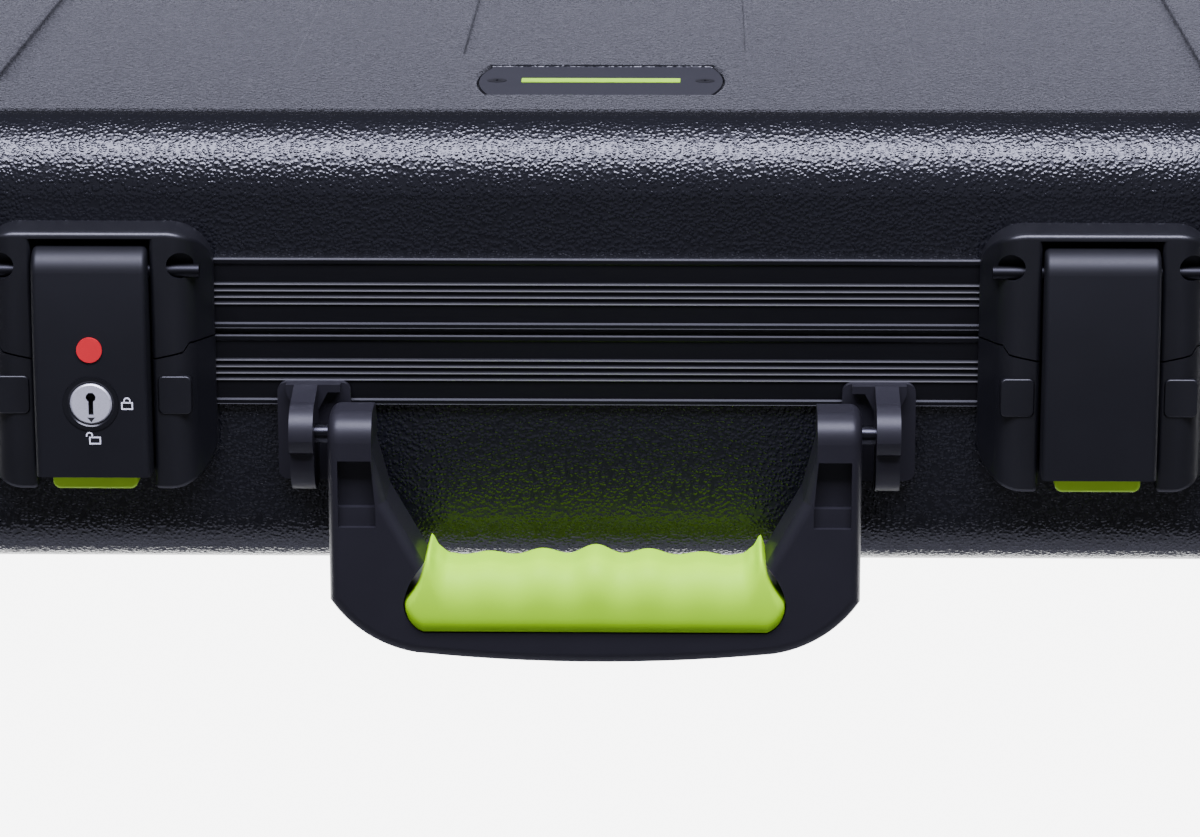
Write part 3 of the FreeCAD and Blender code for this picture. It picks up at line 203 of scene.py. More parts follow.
def colour(values, share=1.0):
    return (*[value * share for value in values[:3]], 1.0)


# Finishes


def grained_plastic(props):
    """Moulded shell: near-black, with a pebbled leather grain."""

    def build(tree, place):
        drift = tree.noise(place, props.grain_size * 2.2, 2.0)
        bent = tree.node(
            "ShaderNodeVectorMath",
            {"operation": "MULTIPLY_ADD"},
            {0: drift, 1: (props.grain_size * 0.9,) * 3, 2: place},
        )
        cells = tree.node(
            "ShaderNodeTexVoronoi",
            {"feature": "SMOOTH_F1"},
            {"Vector": bent, "Scale": 1 / props.grain_size, "Smoothness": 0.35},
        )
        fine = tree.noise(place, props.grain_size * 0.4, 2.0)
        pebble = 1.0 - tree.smooth(cells, 0.1, 0.75)
        height = pebble + fine * 0.25
        blotch = tree.noise(place, 0.03, 3.0)
        dark, light = colour(props.shell_colour, 0.85), colour(props.shell_colour, 1.2)
        base = tree.mix(blotch, dark, light)
        # the pebbles' tops are painted lighter than the hollows between them
        lighter_pebbles = tree.mix(pebble * 0.35, base, colour(props.shell_colour, 1.8))
        return {
            "Base Color": lighter_pebbles,
            "Roughness": 0.25 - pebble * 0.08 + fine * 0.08,
            "Normal": tree.bump(height, props.grain_depth),
        }

    return material("grained_plastic", build, Specular_IOR_Level=0.5)


def ribbed_aluminium(props):
    """Black anodised extrusion whose rib crests and rims carry painted highlight lines."""
    ribs = 4
    # how softly a crest's painted highlight line ends, and where a rim's painted highlight
    # starts and ends
    soft = 4e-5
    rim = (0.00005, 0.00025)
    base = [v.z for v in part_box("base_valance")]
    lid = [v.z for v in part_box("lid_valance")]
    middle = (base[1] + lid[0]) / 2

    def build(tree, place):
        x, y, z = tree.axes(place)
        rise = abs(z - middle)
        crest = None
        for i in range(ribs):
            centre = props.crest_start + i * props.crest_pitch
            line = tree.smooth(props.crest_width / 2 - abs(rise - centre), 0.0, soft)
            crest = crest + line if crest else line
        top, start = lid[1] - middle, lid[0] - middle
        lip = tree.smooth(rise, top - rim[1], top - rim[0])
        inner = 1.0 - tree.smooth(rise, start + rim[0], start + rim[1])
        # painted highlight: light metal lines on the rib crests and the two rims stand in
        # for the light their real flanks and edges catch
        bright = crest + (lip + inner) * 0.25
        scratch = tree.noise(tree.stretched(place, (0.02, 0.02, 1.0)), 0.00012, 2.0)
        tint = props.anodised_colour
        dark = tree.mix(scratch, colour(tint, 0.7), colour(tint, 1.3))
        return {
            "Base Color": tree.mix(bright, dark, (0.78, 0.78, 0.8, 1.0)),
            "Metallic": 0.62 + bright * 0.36,
            "Roughness": 0.42 - bright * 0.12 + scratch * 0.08,
            "Normal": tree.bump(scratch, 1e-5),
        }

    return material("ribbed_aluminium", build)


def satin_plastic(name, tint, roughness, grain=0.0004, depth=1.5e-5, specular=0.5):
    """Smooth moulded plastic with a fine spark-eroded texture."""

    def build(tree, place):
        fine = tree.noise(place, grain, 3.0, 0.6)
        cloud = tree.noise(place, 0.015, 3.0)
        return {
            "Base Color": tree.mix(cloud, colour(tint, 0.88), colour(tint, 1.12)),
            "Roughness": roughness + (fine - 0.5) * 0.16 + (cloud - 0.5) * 0.05,
            "Normal": tree.bump(fine, depth),
        }

    return material(name, build, Specular_IOR_Level=specular)


def brushed_metal(name, tint, roughness):
    """Bare metal with fine lines along x."""
    stretch = (0.05, 1.0, 1.0)

    def build(tree, place):
        lines = tree.noise(tree.stretched(place, stretch), 0.00015, 3.0)
        return {
            "Base Color": tree.mix(lines, colour(tint, 0.8), tint),
            "Roughness": roughness + (lines - 0.5) * 0.2,
            "Normal": tree.bump(lines, 8e-6),
        }

    return material(name, build, Metallic=1.0)


def soft_rubber(props):
    """Lime rubber with a dull bloom, painted darker towards the sole and lighter towards
    the crown as painted shade.
    """
    low, high = [v.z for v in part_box("handle_grip")]

    def build(tree, place):
        x, y, z = tree.axes(place)
        # painted shade: the green darkens from the crown down to the sole, as the light
        # falls from above
        up = tree.smooth(z, low, high)
        fine = tree.noise(place, 0.0005, 3.0, 0.6)
        cloud = tree.noise(place, 0.02, 2.0)
        body = tree.mix(up, colour(props.green, 0.72), colour(props.green, 1.08))
        return {
            "Base Color": tree.mix(cloud * 0.25, body, colour(props.green, 1.2)),
            "Roughness": 0.5 + (fine - 0.5) * 0.12,
            "Normal": tree.bump(fine, 1.2e-5),
        }

    return material("soft_rubber", build, Specular_IOR_Level=0.1)


def open_foam(name, tint):
    """Cut foam: dull, with small open cells whose hollows carry painted shade."""
    cell_size = 0.0011

    def build(tree, place):
        inputs = {"Vector": place, "Scale": 1 / cell_size}
        cells = tree.node("ShaderNodeTexVoronoi", {"feature": "F1"}, inputs)
        fine = tree.noise(place, 0.0006, 3.0, 0.7)
        cloud = tree.noise(place, 0.03, 2.0)
        # painted shade: the cells' hollows are painted darker
        pore = 1.0 - tree.smooth(cells, 0.12, 0.45)
        base = tree.mix(cloud, colour(tint, 0.8), colour(tint, 1.2))
        return {
            "Base Color": tree.mix(pore * 0.7, base, colour(tint, 0.35)),
            "Roughness": 0.95 - fine * 0.1,
            "Normal": tree.bump(fine - pore * 0.8, 2.5e-4),
        }

    return material(name, build, Sheen_Weight=0.15)


def keyed_chrome():
    """Brushed lock face with a small dark arrow on its lowest edge; the keyhole and all
    that lies behind the face are painted black as painted shade.
    """
    # black for the arrow's ink, and for the painted shade in the keyhole
    ink = (0.004, 0.004, 0.004, 1.0)
    low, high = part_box("lock_cylinder")
    middle = (low + high) / 2
    radius = (high.x - low.x) / 2

    def build(tree, place):
        x, y, z = tree.axes(place)
        across, up = x - middle.x, z - middle.z
        lines = tree.noise(tree.stretched(place, (0.35, 1.0, 1.0)), 0.00016, 3.0)
        # painted shade: from 0.2 mm behind the face, fully by 0.6 mm, the keyhole and the
        # barrel behind the face turn black and dull
        sunk_shade = tree.smooth(y, low.y + 0.0002, low.y + 0.0006)
        tip = up + radius * 0.9
        inside = tree.smooth(tip * 0.8 - abs(across), 0.0, 1e-4)
        arrow = inside * tree.smooth(tip, radius * 0.26, radius * 0.24)
        # dark holds both the keyhole's painted shade and the printed arrow
        dark = tree.larger(sunk_shade, arrow)
        face = tree.mix(lines, (0.5, 0.5, 0.52, 1.0), (0.82, 0.82, 0.84, 1.0))
        return {
            "Base Color": tree.mix(dark, face, ink),
            "Metallic": 0.55 - dark * 0.55,
            "Roughness": 0.38 + (lines - 0.5) * 0.2 + dark * 0.3,
            "Normal": tree.bump(lines, 1e-5),
        }

    return material("keyed_chrome", build)


def pale_board(name, dark, light, roughness, **glow):
    """Matt painted board with faint clouds."""

    def build(tree, place):
        cloud = tree.noise(place, 0.2, 2.0)
        return {
            "Base Color": tree.mix(cloud, dark, light),
            "Roughness": roughness + (cloud - 0.5) * 0.1,
        }

    return material(name, build, **glow)


# Meshes


def linked(name, mesh):
    made = bpy.data.objects.new(name, mesh)
    bpy.context.scene.collection.objects.link(made)
    return made


def from_bmesh(name, work, smooth=True):
    bmesh.ops.recalc_face_normals(work, faces=work.faces)
    mesh = bpy.data.meshes.new(name)
    work.to_mesh(mesh)
    work.free()
    mesh.shade_smooth() if smooth else mesh.shade_flat()
    return linked(name, mesh)


def merged_copy(node, name):
    """A copy of a CAD node's mesh with its loose triangles joined into flat faces."""
    work = bmesh.new()
    work.from_mesh(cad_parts[node].data)
    bmesh.ops.remove_doubles(work, verts=work.verts, dist=2e-6)
    bmesh.ops.dissolve_limit(
        work, angle_limit=math.radians(0.5), verts=work.verts, edges=work.edges
    )
    return from_bmesh(name, work)


def apply_modifiers(made):
    graph = bpy.context.evaluated_depsgraph_get()
    mesh = bpy.data.meshes.new_from_object(made.evaluated_get(graph))
    made.modifiers.clear()
    made.data = mesh
    return made


def paint(made, finish):
    made.data.materials.clear()
    made.data.materials.append(finish)


def finish_nodes(finish, *names):
    for name in names:
        paint(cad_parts[name], finish)


def stands_for(made, finish, body, slot, *nodes):
    """The piece takes the place of CAD nodes, with their finish and their body."""
    paint(made, finish)
    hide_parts(*nodes)
    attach(made, body)
    return made


def grown(name, build, sizes, finish):
    """A plain mesh made by a geometry tree. sizes maps each named input to its value."""
    group = bpy.data.node_groups.new(name, "GeometryNodeTree")
    face = group.interface
    face.new_socket("Geometry", in_out="OUTPUT", socket_type="NodeSocketGeometry")
    kinds = {int: "NodeSocketInt", float: "NodeSocketFloat", tuple: "NodeSocketVector"}
    for key, value in sizes.items():
        face.new_socket(key, in_out="INPUT", socket_type=kinds[type(value)])
    face.new_socket("Finish", in_out="INPUT", socket_type="NodeSocketMaterial")
    tree = Tree(group)
    entry = group.nodes.new("NodeGroupInput")
    given = {socket.name: Wire(tree, socket) for socket in entry.outputs if socket.name}
    shape = build(tree, given)
    real = tree.node("GeometryNodeRealizeInstances", None, {"Geometry": shape})
    inputs = {"Geometry": real, "Material": given["Finish"]}
    done = tree.node("GeometryNodeSetMaterial", None, inputs)
    tree.node("NodeGroupOutput", None, {"Geometry": done})
    made = linked(name, bpy.data.meshes.new(name))
    modifier = made.modifiers.new(name, "NODES")
    modifier.node_group = group
    values = {**sizes, "Finish": finish}
    for item in face.items_tree:
        if item.in_out == "INPUT":
            modifier[item.identifier] = values[item.name]
    apply_modifiers(made)
    made.data.shade_smooth()
    return made


# Sizes and colours


class CaseFinish(bpy.types.PropertyGroup):
    """Colours and grain of the case."""

    shell_colour: bpy.props.FloatVectorProperty(
        name="Shell",
        description="Colour of the moulded shells",
        subtype="COLOR",
        size=3,
        min=0,
        max=1,
        default=(0.0036, 0.0038, 0.0052),
    )
    anodised_colour: bpy.props.FloatVectorProperty(
        name="Valance",
        description="Colour of the anodised valances",
        subtype="COLOR",
        size=3,
        min=0,
        max=1,
        default=(0.004, 0.004, 0.005),
    )
    housing_colour: bpy.props.FloatVectorProperty(
        name="Housings",
        description="Colour of the latch housings and levers",
        subtype="COLOR",
        size=3,
        min=0,
        max=1,
        default=(0.004, 0.0041, 0.0052),
    )
    handle_colour: bpy.props.FloatVectorProperty(
        name="Handle",
        description="Colour of the handle and its brackets",
        subtype="COLOR",
        size=3,
        min=0,
        max=1,
        default=(0.0105, 0.01, 0.0125),
    )
    green: bpy.props.FloatVectorProperty(
        name="Green",
        description="Colour of the grip and the plate's stripe",
        subtype="COLOR",
        size=3,
        min=0,
        max=1,
        default=(0.35, 0.72, 0.003),
    )
    tab_colour: bpy.props.FloatVectorProperty(
        name="Release tabs",
        description="Colour of the two release tabs",
        subtype="COLOR",
        size=3,
        min=0,
        max=1,
        default=(0.52, 0.9, 0.03),
    )
    foam_colour: bpy.props.FloatVectorProperty(
        name="Foam",
        description="Colour of the foam inside",
        subtype="COLOR",
        size=3,
        min=0,
        max=1,
        default=(0.045, 0.045, 0.05),
    )
    grain_size: bpy.props.FloatProperty(
        name="Grain size",
        description="Width of one pebble of the shells' grain",
        subtype="DISTANCE",
        unit="LENGTH",
        default=0.00098,
    )
    grain_depth: bpy.props.FloatProperty(
        name="Grain depth",
        description="Depth of the shells' grain",
        subtype="DISTANCE",
        unit="LENGTH",
        default=0.00014,
    )
    crest_start: bpy.props.FloatProperty(
        name="First rib",
        description="Height of the first rib's crest above the parting line",
        subtype="DISTANCE",
        unit="LENGTH",
        default=0.0076,
    )
    crest_pitch: bpy.props.FloatProperty(
        name="Rib pitch",
        description="Distance from one rib's crest to the next",
        subtype="DISTANCE",
        unit="LENGTH",
        default=0.00175,
    )
    crest_width: bpy.props.FloatProperty(
        name="Crest width",
        description="Width of the bright line on each rib",
        subtype="DISTANCE",
        unit="LENGTH",
        default=0.00034,
    )


class FoamSizes(bpy.types.PropertyGroup):
    """Sizes of the foam pieces."""

    edge_round: bpy.props.FloatProperty(
        name="Edge round",
        description="Rounding of the tray's cut edges",
        subtype="DISTANCE",
        unit="LENGTH",
        default=0.0016,
    )
    corner_radius: bpy.props.FloatProperty(
        name="Corner radius",
        description="Radius of the foam's corners, as seen from above",
        subtype="DISTANCE",
        unit="LENGTH",
        default=0.0313,
    )
    top_round: bpy.props.FloatProperty(
        name="Top round",
        description="Rounding where the lid's foam meets the rounded edge of the lid",
        subtype="DISTANCE",
        unit="LENGTH",
        default=0.0158,
    )
    peak_pitch: bpy.props.FloatProperty(
        name="Peak pitch",
        description="Distance between the peaks of the lid's foam",
        subtype="DISTANCE",
        unit="LENGTH",
        default=0.036,
    )
    peak_start: bpy.props.FloatVectorProperty(
        name="First peak",
        description="Place of the first peak across and along the lid",
        subtype="XYZ",
        unit="LENGTH",
        size=2,
        default=(-0.189, -0.134),
    )
    peak_height: bpy.props.FloatProperty(
        name="Peak height",
        description="Height of the peaks of the lid's foam",
        subtype="DISTANCE",
        unit="LENGTH",
        default=0.009,
    )


class GripSizes(bpy.types.PropertyGroup):
    """Shape of the soft grip."""

    spur_place: bpy.props.FloatProperty(
        name="Spur place",
        description="Distance of the spurs from the middle",
        subtype="DISTANCE",
        unit="LENGTH",
        default=0.0432,
    )
    neck_place: bpy.props.FloatVectorProperty(
        name="Neck place",
        description="Where a spur's neck starts, from the middle and down from the tip",
        subtype="XYZ",
        unit="LENGTH",
        size=2,
        default=(0.0443, 0.0034),
    )
    lobe_drop: bpy.props.FloatProperty(
        name="Lobe drop",
        description="Drop from the spurs' tips to the widest place of the end lobes",
        subtype="DISTANCE",
        unit="LENGTH",
        default=0.0139,
    )
    heel_inset: bpy.props.FloatProperty(
        name="Heel inset",
        description="Distance from the ends to where the sole turns up",
        subtype="DISTANCE",
        unit="LENGTH",
        default=0.005,
    )
    crown_round: bpy.props.FloatProperty(
        name="Crown round",
        description="How far below the crown the front reaches its full thickness",
        subtype="DISTANCE",
        unit="LENGTH",
        default=0.0105,
    )
    sole_round: bpy.props.FloatProperty(
        name="Sole round",
        description="How far above the sole the front reaches its full thickness",
        subtype="DISTANCE",
        unit="LENGTH",
        default=0.0045,
    )
    neck_radius: bpy.props.FloatProperty(
        name="Neck radius",
        description="Radius of the hollow between a spur's neck and its end lobe",
        subtype="DISTANCE",
        unit="LENGTH",
        default=0.0195,
    )
    heel_radius: bpy.props.FloatProperty(
        name="Heel radius",
        description="Radius of the turn from the sole to an end lobe",
        subtype="DISTANCE",
        unit="LENGTH",
        default=0.0086,
    )
    valley_drop: bpy.props.FloatProperty(
        name="Valley drop",
        description="Drop from the spurs' tips to the valleys between the bumps",
        subtype="DISTANCE",
        unit="LENGTH",
        default=0.0047,
    )
    bump_pitch: bpy.props.FloatProperty(
        name="Bump pitch",
        description="Distance between the bumps that part the fingers",
        subtype="DISTANCE",
        unit="LENGTH",
        default=0.0139,
    )
    bump_height: bpy.props.FloatProperty(
        name="Bump height",
        description="Rise of the middle bump above the valleys",
        subtype="DISTANCE",
        unit="LENGTH",
        default=0.0026,
    )
    front_wave: bpy.props.FloatProperty(
        name="Front wave",
        description="Depth of the hollows in front, between the bumps",
        subtype="DISTANCE",
        unit="LENGTH",
        default=0.0011,
    )


class SignSizes(bpy.types.PropertyGroup):
    """The two padlock signs beside the lock."""

    size: bpy.props.FloatProperty(
        name="Size",
        description="Width of a sign's padlock",
        subtype="DISTANCE",
        unit="LENGTH",
        default=0.0027,
    )
    line: bpy.props.FloatProperty(
        name="Line",
        description="Width of the signs' lines",
        subtype="DISTANCE",
        unit="LENGTH",
        default=0.00034,
    )
    locked_place: bpy.props.FloatVectorProperty(
        name="Locked sign",
        description="Place of the closed padlock across and up from the lock",
        subtype="XYZ",
        unit="LENGTH",
        size=2,
        default=(0.0094, 0.0),
    )
    unlocked_place: bpy.props.FloatVectorProperty(
        name="Unlocked sign",
        description="Place of the open padlock across and up from the lock",
        subtype="XYZ",
        unit="LENGTH",
        size=2,
        default=(0.0008, -0.0093),
    )


class StageSettings(bpy.types.PropertyGroup):
    """Table, lights and camera."""

    key_power: bpy.props.FloatProperty(
        name="Key light",
        description="Power of the soft light above the front edge",
        subtype="POWER",
        unit="POWER",
        default=92.0,
    )
    rear_power: bpy.props.FloatProperty(
        name="Rear light",
        description="Power of the wide light behind the case",
        subtype="POWER",
        unit="POWER",
        default=4.7,
    )
    fill_power: bpy.props.FloatProperty(
        name="Front fill",
        description="Power of the low light in front",
        subtype="POWER",
        unit="POWER",
        default=2.0,
    )
    surround: bpy.props.FloatProperty(
        name="Surround",
        description="Brightness of the room around the stage",
        default=0.09,
        min=0,
    )
    lamp_tint: bpy.props.FloatVectorProperty(
        name="Lamp tint",
        description="Colour of the lamps' light",
        subtype="COLOR",
        size=3,
        min=0,
        max=1,
        default=(0.75, 0.755, 1.0),
    )
    table_glow: bpy.props.FloatProperty(
        name="Table glow",
        description="Light that the table's front gives off, which keeps it near white",
        default=7.0,
        min=0,
    )
    camera_place: bpy.props.FloatVectorProperty(
        name="Camera place",
        description="Where the camera stands",
        subtype="TRANSLATION",
        unit="LENGTH",
        size=3,
        default=(0.027, -1.285, 0.3486),
    )
    camera_turn: bpy.props.FloatVectorProperty(
        name="Camera turn",
        description="The camera's rotation",
        subtype="EULER",
        unit="ROTATION",
        size=3,
        default=(math.radians(74.72), math.radians(0.15), math.radians(1.3)),
    )
    lens: bpy.props.FloatProperty(
        name="Lens",
        description="Focal length on a 36 mm wide sensor, in millimetres",
        default=132.0,
    )


# Pieces


class CASE_OT_shells(bpy.types.Operator):
    """Finish the base and lid shells"""

    bl_idname = "mic_case.shells"
    bl_label = "Shells"

    def execute(self, context):
        props = context.scene.case_finish
        finish_nodes(grained_plastic(props), "base_shell", "lid_shell")
        rubber = satin_plastic("seal_rubber", SEAL_BLACK, 0.7)
        finish_nodes(rubber, "rim_seal")
        return {"FINISHED"}


class CASE_OT_valances(bpy.types.Operator):
    """Finish the ribbed valances"""

    bl_idname = "mic_case.valances"
    bl_label = "Valances"

    def execute(self, context):
        finish = ribbed_aluminium(context.scene.case_finish)
        finish_nodes(finish, "base_valance", "lid_valance")
        return {"FINISHED"}


class CASE_OT_latches(bpy.types.Operator):
    """Finish the latches, their levers, pins, hooks, keepers and release tabs"""

    bl_idname = "mic_case.latches"
    bl_label = "Latches"

    def execute(self, context):
        props = context.scene.case_finish
        satin = satin_plastic("housing_plastic", props.housing_colour, 0.4)
        painted = satin_plastic("lever_paint", props.housing_colour, 0.5, 0.0003, 8e-6, 0.3)
        green = satin_plastic("tab_plastic", props.tab_colour, 0.42, specular=0.3)
        steel = brushed_metal("bright_steel", BRIGHT_STEEL, 0.25)
        # the latch pins are painted near black: painted shade from the windows they sit in
        pin = brushed_metal("latch_pin_steel", SHADED_PIN_STEEL, 0.45)
        for side in ("left", "right"):
            finish_nodes(
                satin,
                f"latch_upper_housing_{side}",
                f"latch_lower_housing_{side}",
                f"housing_plugs_{side}",
            )
            finish_nodes(painted, f"latch_lever_{side}")
            finish_nodes(green, f"release_tab_{side}")
            finish_nodes(steel, f"latch_hook_{side}", f"latch_keeper_{side}")
            finish_nodes(pin, f"latch_pin_{side}")
        return {"FINISHED"}


def ribbon(work, points, width, face, closed):
    """A raised line of even width along points in the plane of the lever's face."""
    count = len(points)
    rows = []
    for i, point in enumerate(points):
        before = points[(i - 1) % count] if closed or i else points[i]
        after = points[(i + 1) % count] if closed or i < count - 1 else points[i]
        along_in = (point - before).normalized() if i or closed else None
        along_out = (after - point).normalized() if closed or i < count - 1 else None
        along_in, along_out = along_in or along_out, along_out or along_in
        middle = (along_in + along_out).normalized()
        across = Vector((-middle.y, middle.x))
        reach = width / 2 / max(0.5, across.dot(Vector((-along_out.y, along_out.x))))
        row = []
        for side, depth in ((1, 0.0), (1, -INK_DEPTH), (-1, -INK_DEPTH), (-1, 0.0)):
            spot = point + across * reach * side
            row.append(work.verts.new((spot.x, face + depth, spot.y)))
        rows.append(row)
    for i in range(count if closed else count - 1):
        a, b = rows[i], rows[(i + 1) % count]
        for k in range(4):
            work.faces.new((a[k], a[(k + 1) % 4], b[(k + 1) % 4], b[k]))
    if not closed:
        work.faces.new(rows[0])
        work.faces.new(rows[-1])


def padlock_sign(name, spot, size, line, open_by):
    """Outline of a plain padlock: a box under a shackle, set aside when it is open."""
    work = bmesh.new()
    half, high = size * 0.5, size * 0.62
    box = [Vector(c) for c in ((-half, 0), (half, 0), (half, high), (-half, high))]
    radius = size * 0.27
    aside = half - radius + open_by if open_by else 0.0
    leg = size * 0.2
    shackle = [Vector((-aside - radius, high + (leg * 0.4 if open_by else 0.0)))]
    for i in range(13):
        angle = math.pi * (1 - i / 12)
        arc = Vector((math.cos(angle), math.sin(angle))) * radius
        shackle.append(Vector((-aside, high + leg)) + arc)
    shackle.append(Vector((-aside + radius, high)))
    middle = Vector((spot.x, spot.z - size * 0.5))
    ribbon(work, [middle + c for c in box], line, spot.y, True)
    ribbon(work, [middle + c for c in shackle], line, spot.y, False)
    return from_bmesh(name, work, smooth=False)


class CASE_OT_lock(bpy.types.Operator):
    """Finish the key lock and the plain dot above it"""

    bl_idname = "mic_case.lock"
    bl_label = "Lock"

    def execute(self, context):
        props = context.scene.case_finish
        finish_nodes(keyed_chrome(), "lock_cylinder")
        ring = satin_plastic("ring_paint", props.housing_colour, 0.3, 0.0003, 8e-6)
        finish_nodes(ring, "lock_ring")
        steel = brushed_metal("cam_steel", CAM_STEEL, 0.35)
        finish_nodes(steel, "lock_cam")
        finish_nodes(satin_plastic("red_dot", DOT_RED, 0.4), "latch_mark")
        low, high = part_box("lock_cylinder")
        centre = (low + high) / 2
        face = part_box("latch_lever_left")[0].y
        ink = satin_plastic("white_ink", INK_WHITE, 0.5)
        signs = context.scene.case_signs
        for name, place, open_by in (
            ("locked_sign", signs.locked_place, 0.0),
            ("unlocked_sign", signs.unlocked_place, signs.size * 0.3),
        ):
            spot = Vector((centre.x + place[0], face, centre.z + place[1]))
            sign = padlock_sign(name, spot, signs.size, signs.line, open_by)
            paint(sign, ink)
            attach(sign, "lever_left")
        return {"FINISHED"}


def between(keys, value):
    """Height at this place on an even curve through the keys."""
    for (x0, z0), (x1, z1) in zip(keys, keys[1:]):
        if value <= x1:
            share = (value - x0) / (x1 - x0)
            return z0 + (z1 - z0) * (0.5 - 0.5 * math.cos(math.pi * share))
    return keys[-1][1]


def bowed(start, end, radius, steps):
    """Points of an arc from start to end that bows to the right of the straight line."""
    start, end = Vector(start), Vector(end)
    chord = end - start
    across = Vector((chord.y, -chord.x)).normalized()
    middle = (start + end) / 2
    centre = middle - across * math.sqrt(radius**2 - (chord.length / 2) ** 2)
    first, last = start - centre, end - centre
    turn = first.angle_signed(last)
    points = []
    for i in range(1, steps + 1):
        c, d = math.cos(-turn * i / steps), math.sin(-turn * i / steps)
        spoke = Vector((first.x * c - first.y * d, first.x * d + first.y * c))
        points.append(centre + spoke)
    return points


def eased(distance, reach):
    """0 at an edge and 1 from reach inwards, as a quarter circle rises."""
    share = min(1.0, max(0.0, distance / reach))
    return math.sqrt(1 - (1 - share) ** 2)


def puffed_grip(sizes):
    """Soft grip: waved crown, puffed front and back, pointed spurs and low end lobes."""
    low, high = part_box("handle_grip")
    centre = (low + high) / 2
    half, thick = high.x, (high.y - low.y) / 2
    spur = Vector((sizes.spur_place, high.z))
    neck = Vector((sizes.neck_place[0], high.z - sizes.neck_place[1]))
    lobe = Vector((half, high.z - sizes.lobe_drop))
    heel = Vector((half - sizes.heel_inset, low.z))
    valley = high.z - sizes.valley_drop
    pitch, rise = sizes.bump_pitch, sizes.bump_height
    # places along the grip, from its middle to a spur's tip, and the crown's height there
    crown = [
        (0.0, valley + rise),
        (pitch * 0.52, valley + rise * 0.12),
        (pitch, valley + rise * 0.6),
        (pitch * 1.52, valley),
        (pitch * 2.0, valley + rise * 0.3),
        (pitch * 2.5, valley - rise * 0.05),
        (pitch * 2.75, valley + rise * 0.12),
        (pitch * 2.95, valley + (high.z - valley) * 0.42),
        (spur.x, high.z),
    ]
    steps, neck_steps, heel_steps, levels = 70, 14, 8, 22
    # the width left at the outermost section, and the rounding of the ends' edges
    tip_gap, flank_round = 0.00012, 0.003
    stations = [(spur.x * i / steps, None) for i in range(steps + 1)]
    side = [spur.lerp(neck, k / 4) for k in range(1, 5)]
    side += bowed(neck, lobe, sizes.neck_radius, neck_steps)
    stations += [(point.x, point.y) for point in side[:-1]]
    stations.append((half - tip_gap, lobe.y))
    under = [Vector((0.0, low.z)), heel] + bowed(heel, lobe, sizes.heel_radius, heel_steps)
    stations = [(-x, z) for x, z in reversed(stations[1:])] + stations
    work = bmesh.new()
    rows = []
    for x, top in stations:
        place = abs(x)
        top = between(crown, place) if top is None else top
        for a, b in zip(under, under[1:]):
            if place <= b.x or b is under[-1]:
                share = (place - a.x) / max(1e-9, b.x - a.x)
                bottom = a.y + (b.y - a.y) * min(1.0, share)
                break
        bottom = min(bottom, top - 1e-4)
        bump = 0.0
        if place < pitch * 2.5:
            bump = max(0.0, (between(crown[:6], place) - valley) / rise)
        end = 0.8 + 0.2 * eased(half - place, flank_round)
        flank = min(1.0, max(0.0, (place - spur.x + 0.003) / 0.004))
        crown_round = sizes.crown_round * (1 - flank) + flank_round * flank
        crown_edge = 0.34 + 0.46 * flank
        front, back = [], []
        for k in range(levels):
            z = bottom + (top - bottom) * (0.5 - 0.5 * math.cos(math.pi * k / (levels - 1)))
            puff = crown_edge + (1 - crown_edge) * eased(top - z, crown_round)
            puff *= 0.78 + 0.22 * eased(z - bottom, sizes.sole_round)
            lift = min(1.0, max(0.0, (z - low.z) / (valley - low.z)))
            wave = sizes.front_wave * (1 - bump) * lift * lift
            depth = thick * puff * end - wave * puff * end
            front.append(work.verts.new((x, centre.y - depth, z)))
            back.append(work.verts.new((x, centre.y + depth, z)))
        rows.append(front + back[::-1])
    for a, b in zip(rows, rows[1:]):
        for i in range(len(a)):
            k = (i + 1) % len(a)
            work.faces.new((a[i], a[k], b[k], b[i]))
    work.faces.new(rows[0])
    work.faces.new(rows[-1])
    grip = from_bmesh("soft_grip", work)
    even = grip.modifiers.new("even", "SMOOTH")
    even.iterations = 3
    even.factor = 0.4
    return apply_modifiers(grip)


class CASE_OT_handle(bpy.types.Operator):
    """Finish the handle and its brackets, and make its soft grip"""

    bl_idname = "mic_case.handle"
    bl_label = "Handle"

    def execute(self, context):
        props = context.scene.case_finish
        satin = satin_plastic("handle_plastic", props.handle_colour, 0.44, specular=0.28)
        finish_nodes(satin, "handle_frame", "handle_bracket_left", "handle_bracket_right")
        steel = brushed_metal("pin_steel", DARK_STEEL, 0.3)
        finish_nodes(steel, "handle_pin_left", "handle_pin_right")
        grip = puffed_grip(context.scene.grip_sizes)
        stands_for(grip, soft_rubber(props), "handle", "grip", "handle_grip")
        return {"FINISHED"}


class CASE_OT_name_plate(bpy.types.Operator):
    """Finish the bare name plate, its screws and its stripe"""

    bl_idname = "mic_case.name_plate"
    bl_label = "Name plate"

    def execute(self, context):
        props = context.scene.case_finish
        black = satin_plastic("plate_black", PLATE_BLACK, 0.7, specular=0.4)
        finish_nodes(black, "name_plate")
        dull = satin_plastic("screw_black", SCREW_BLACK, 0.6, specular=0.25)
        finish_nodes(dull, "plate_screws")
        finish_nodes(satin_plastic("stripe_green", props.green, 0.4), "plate_stripe")
        return {"FINISHED"}


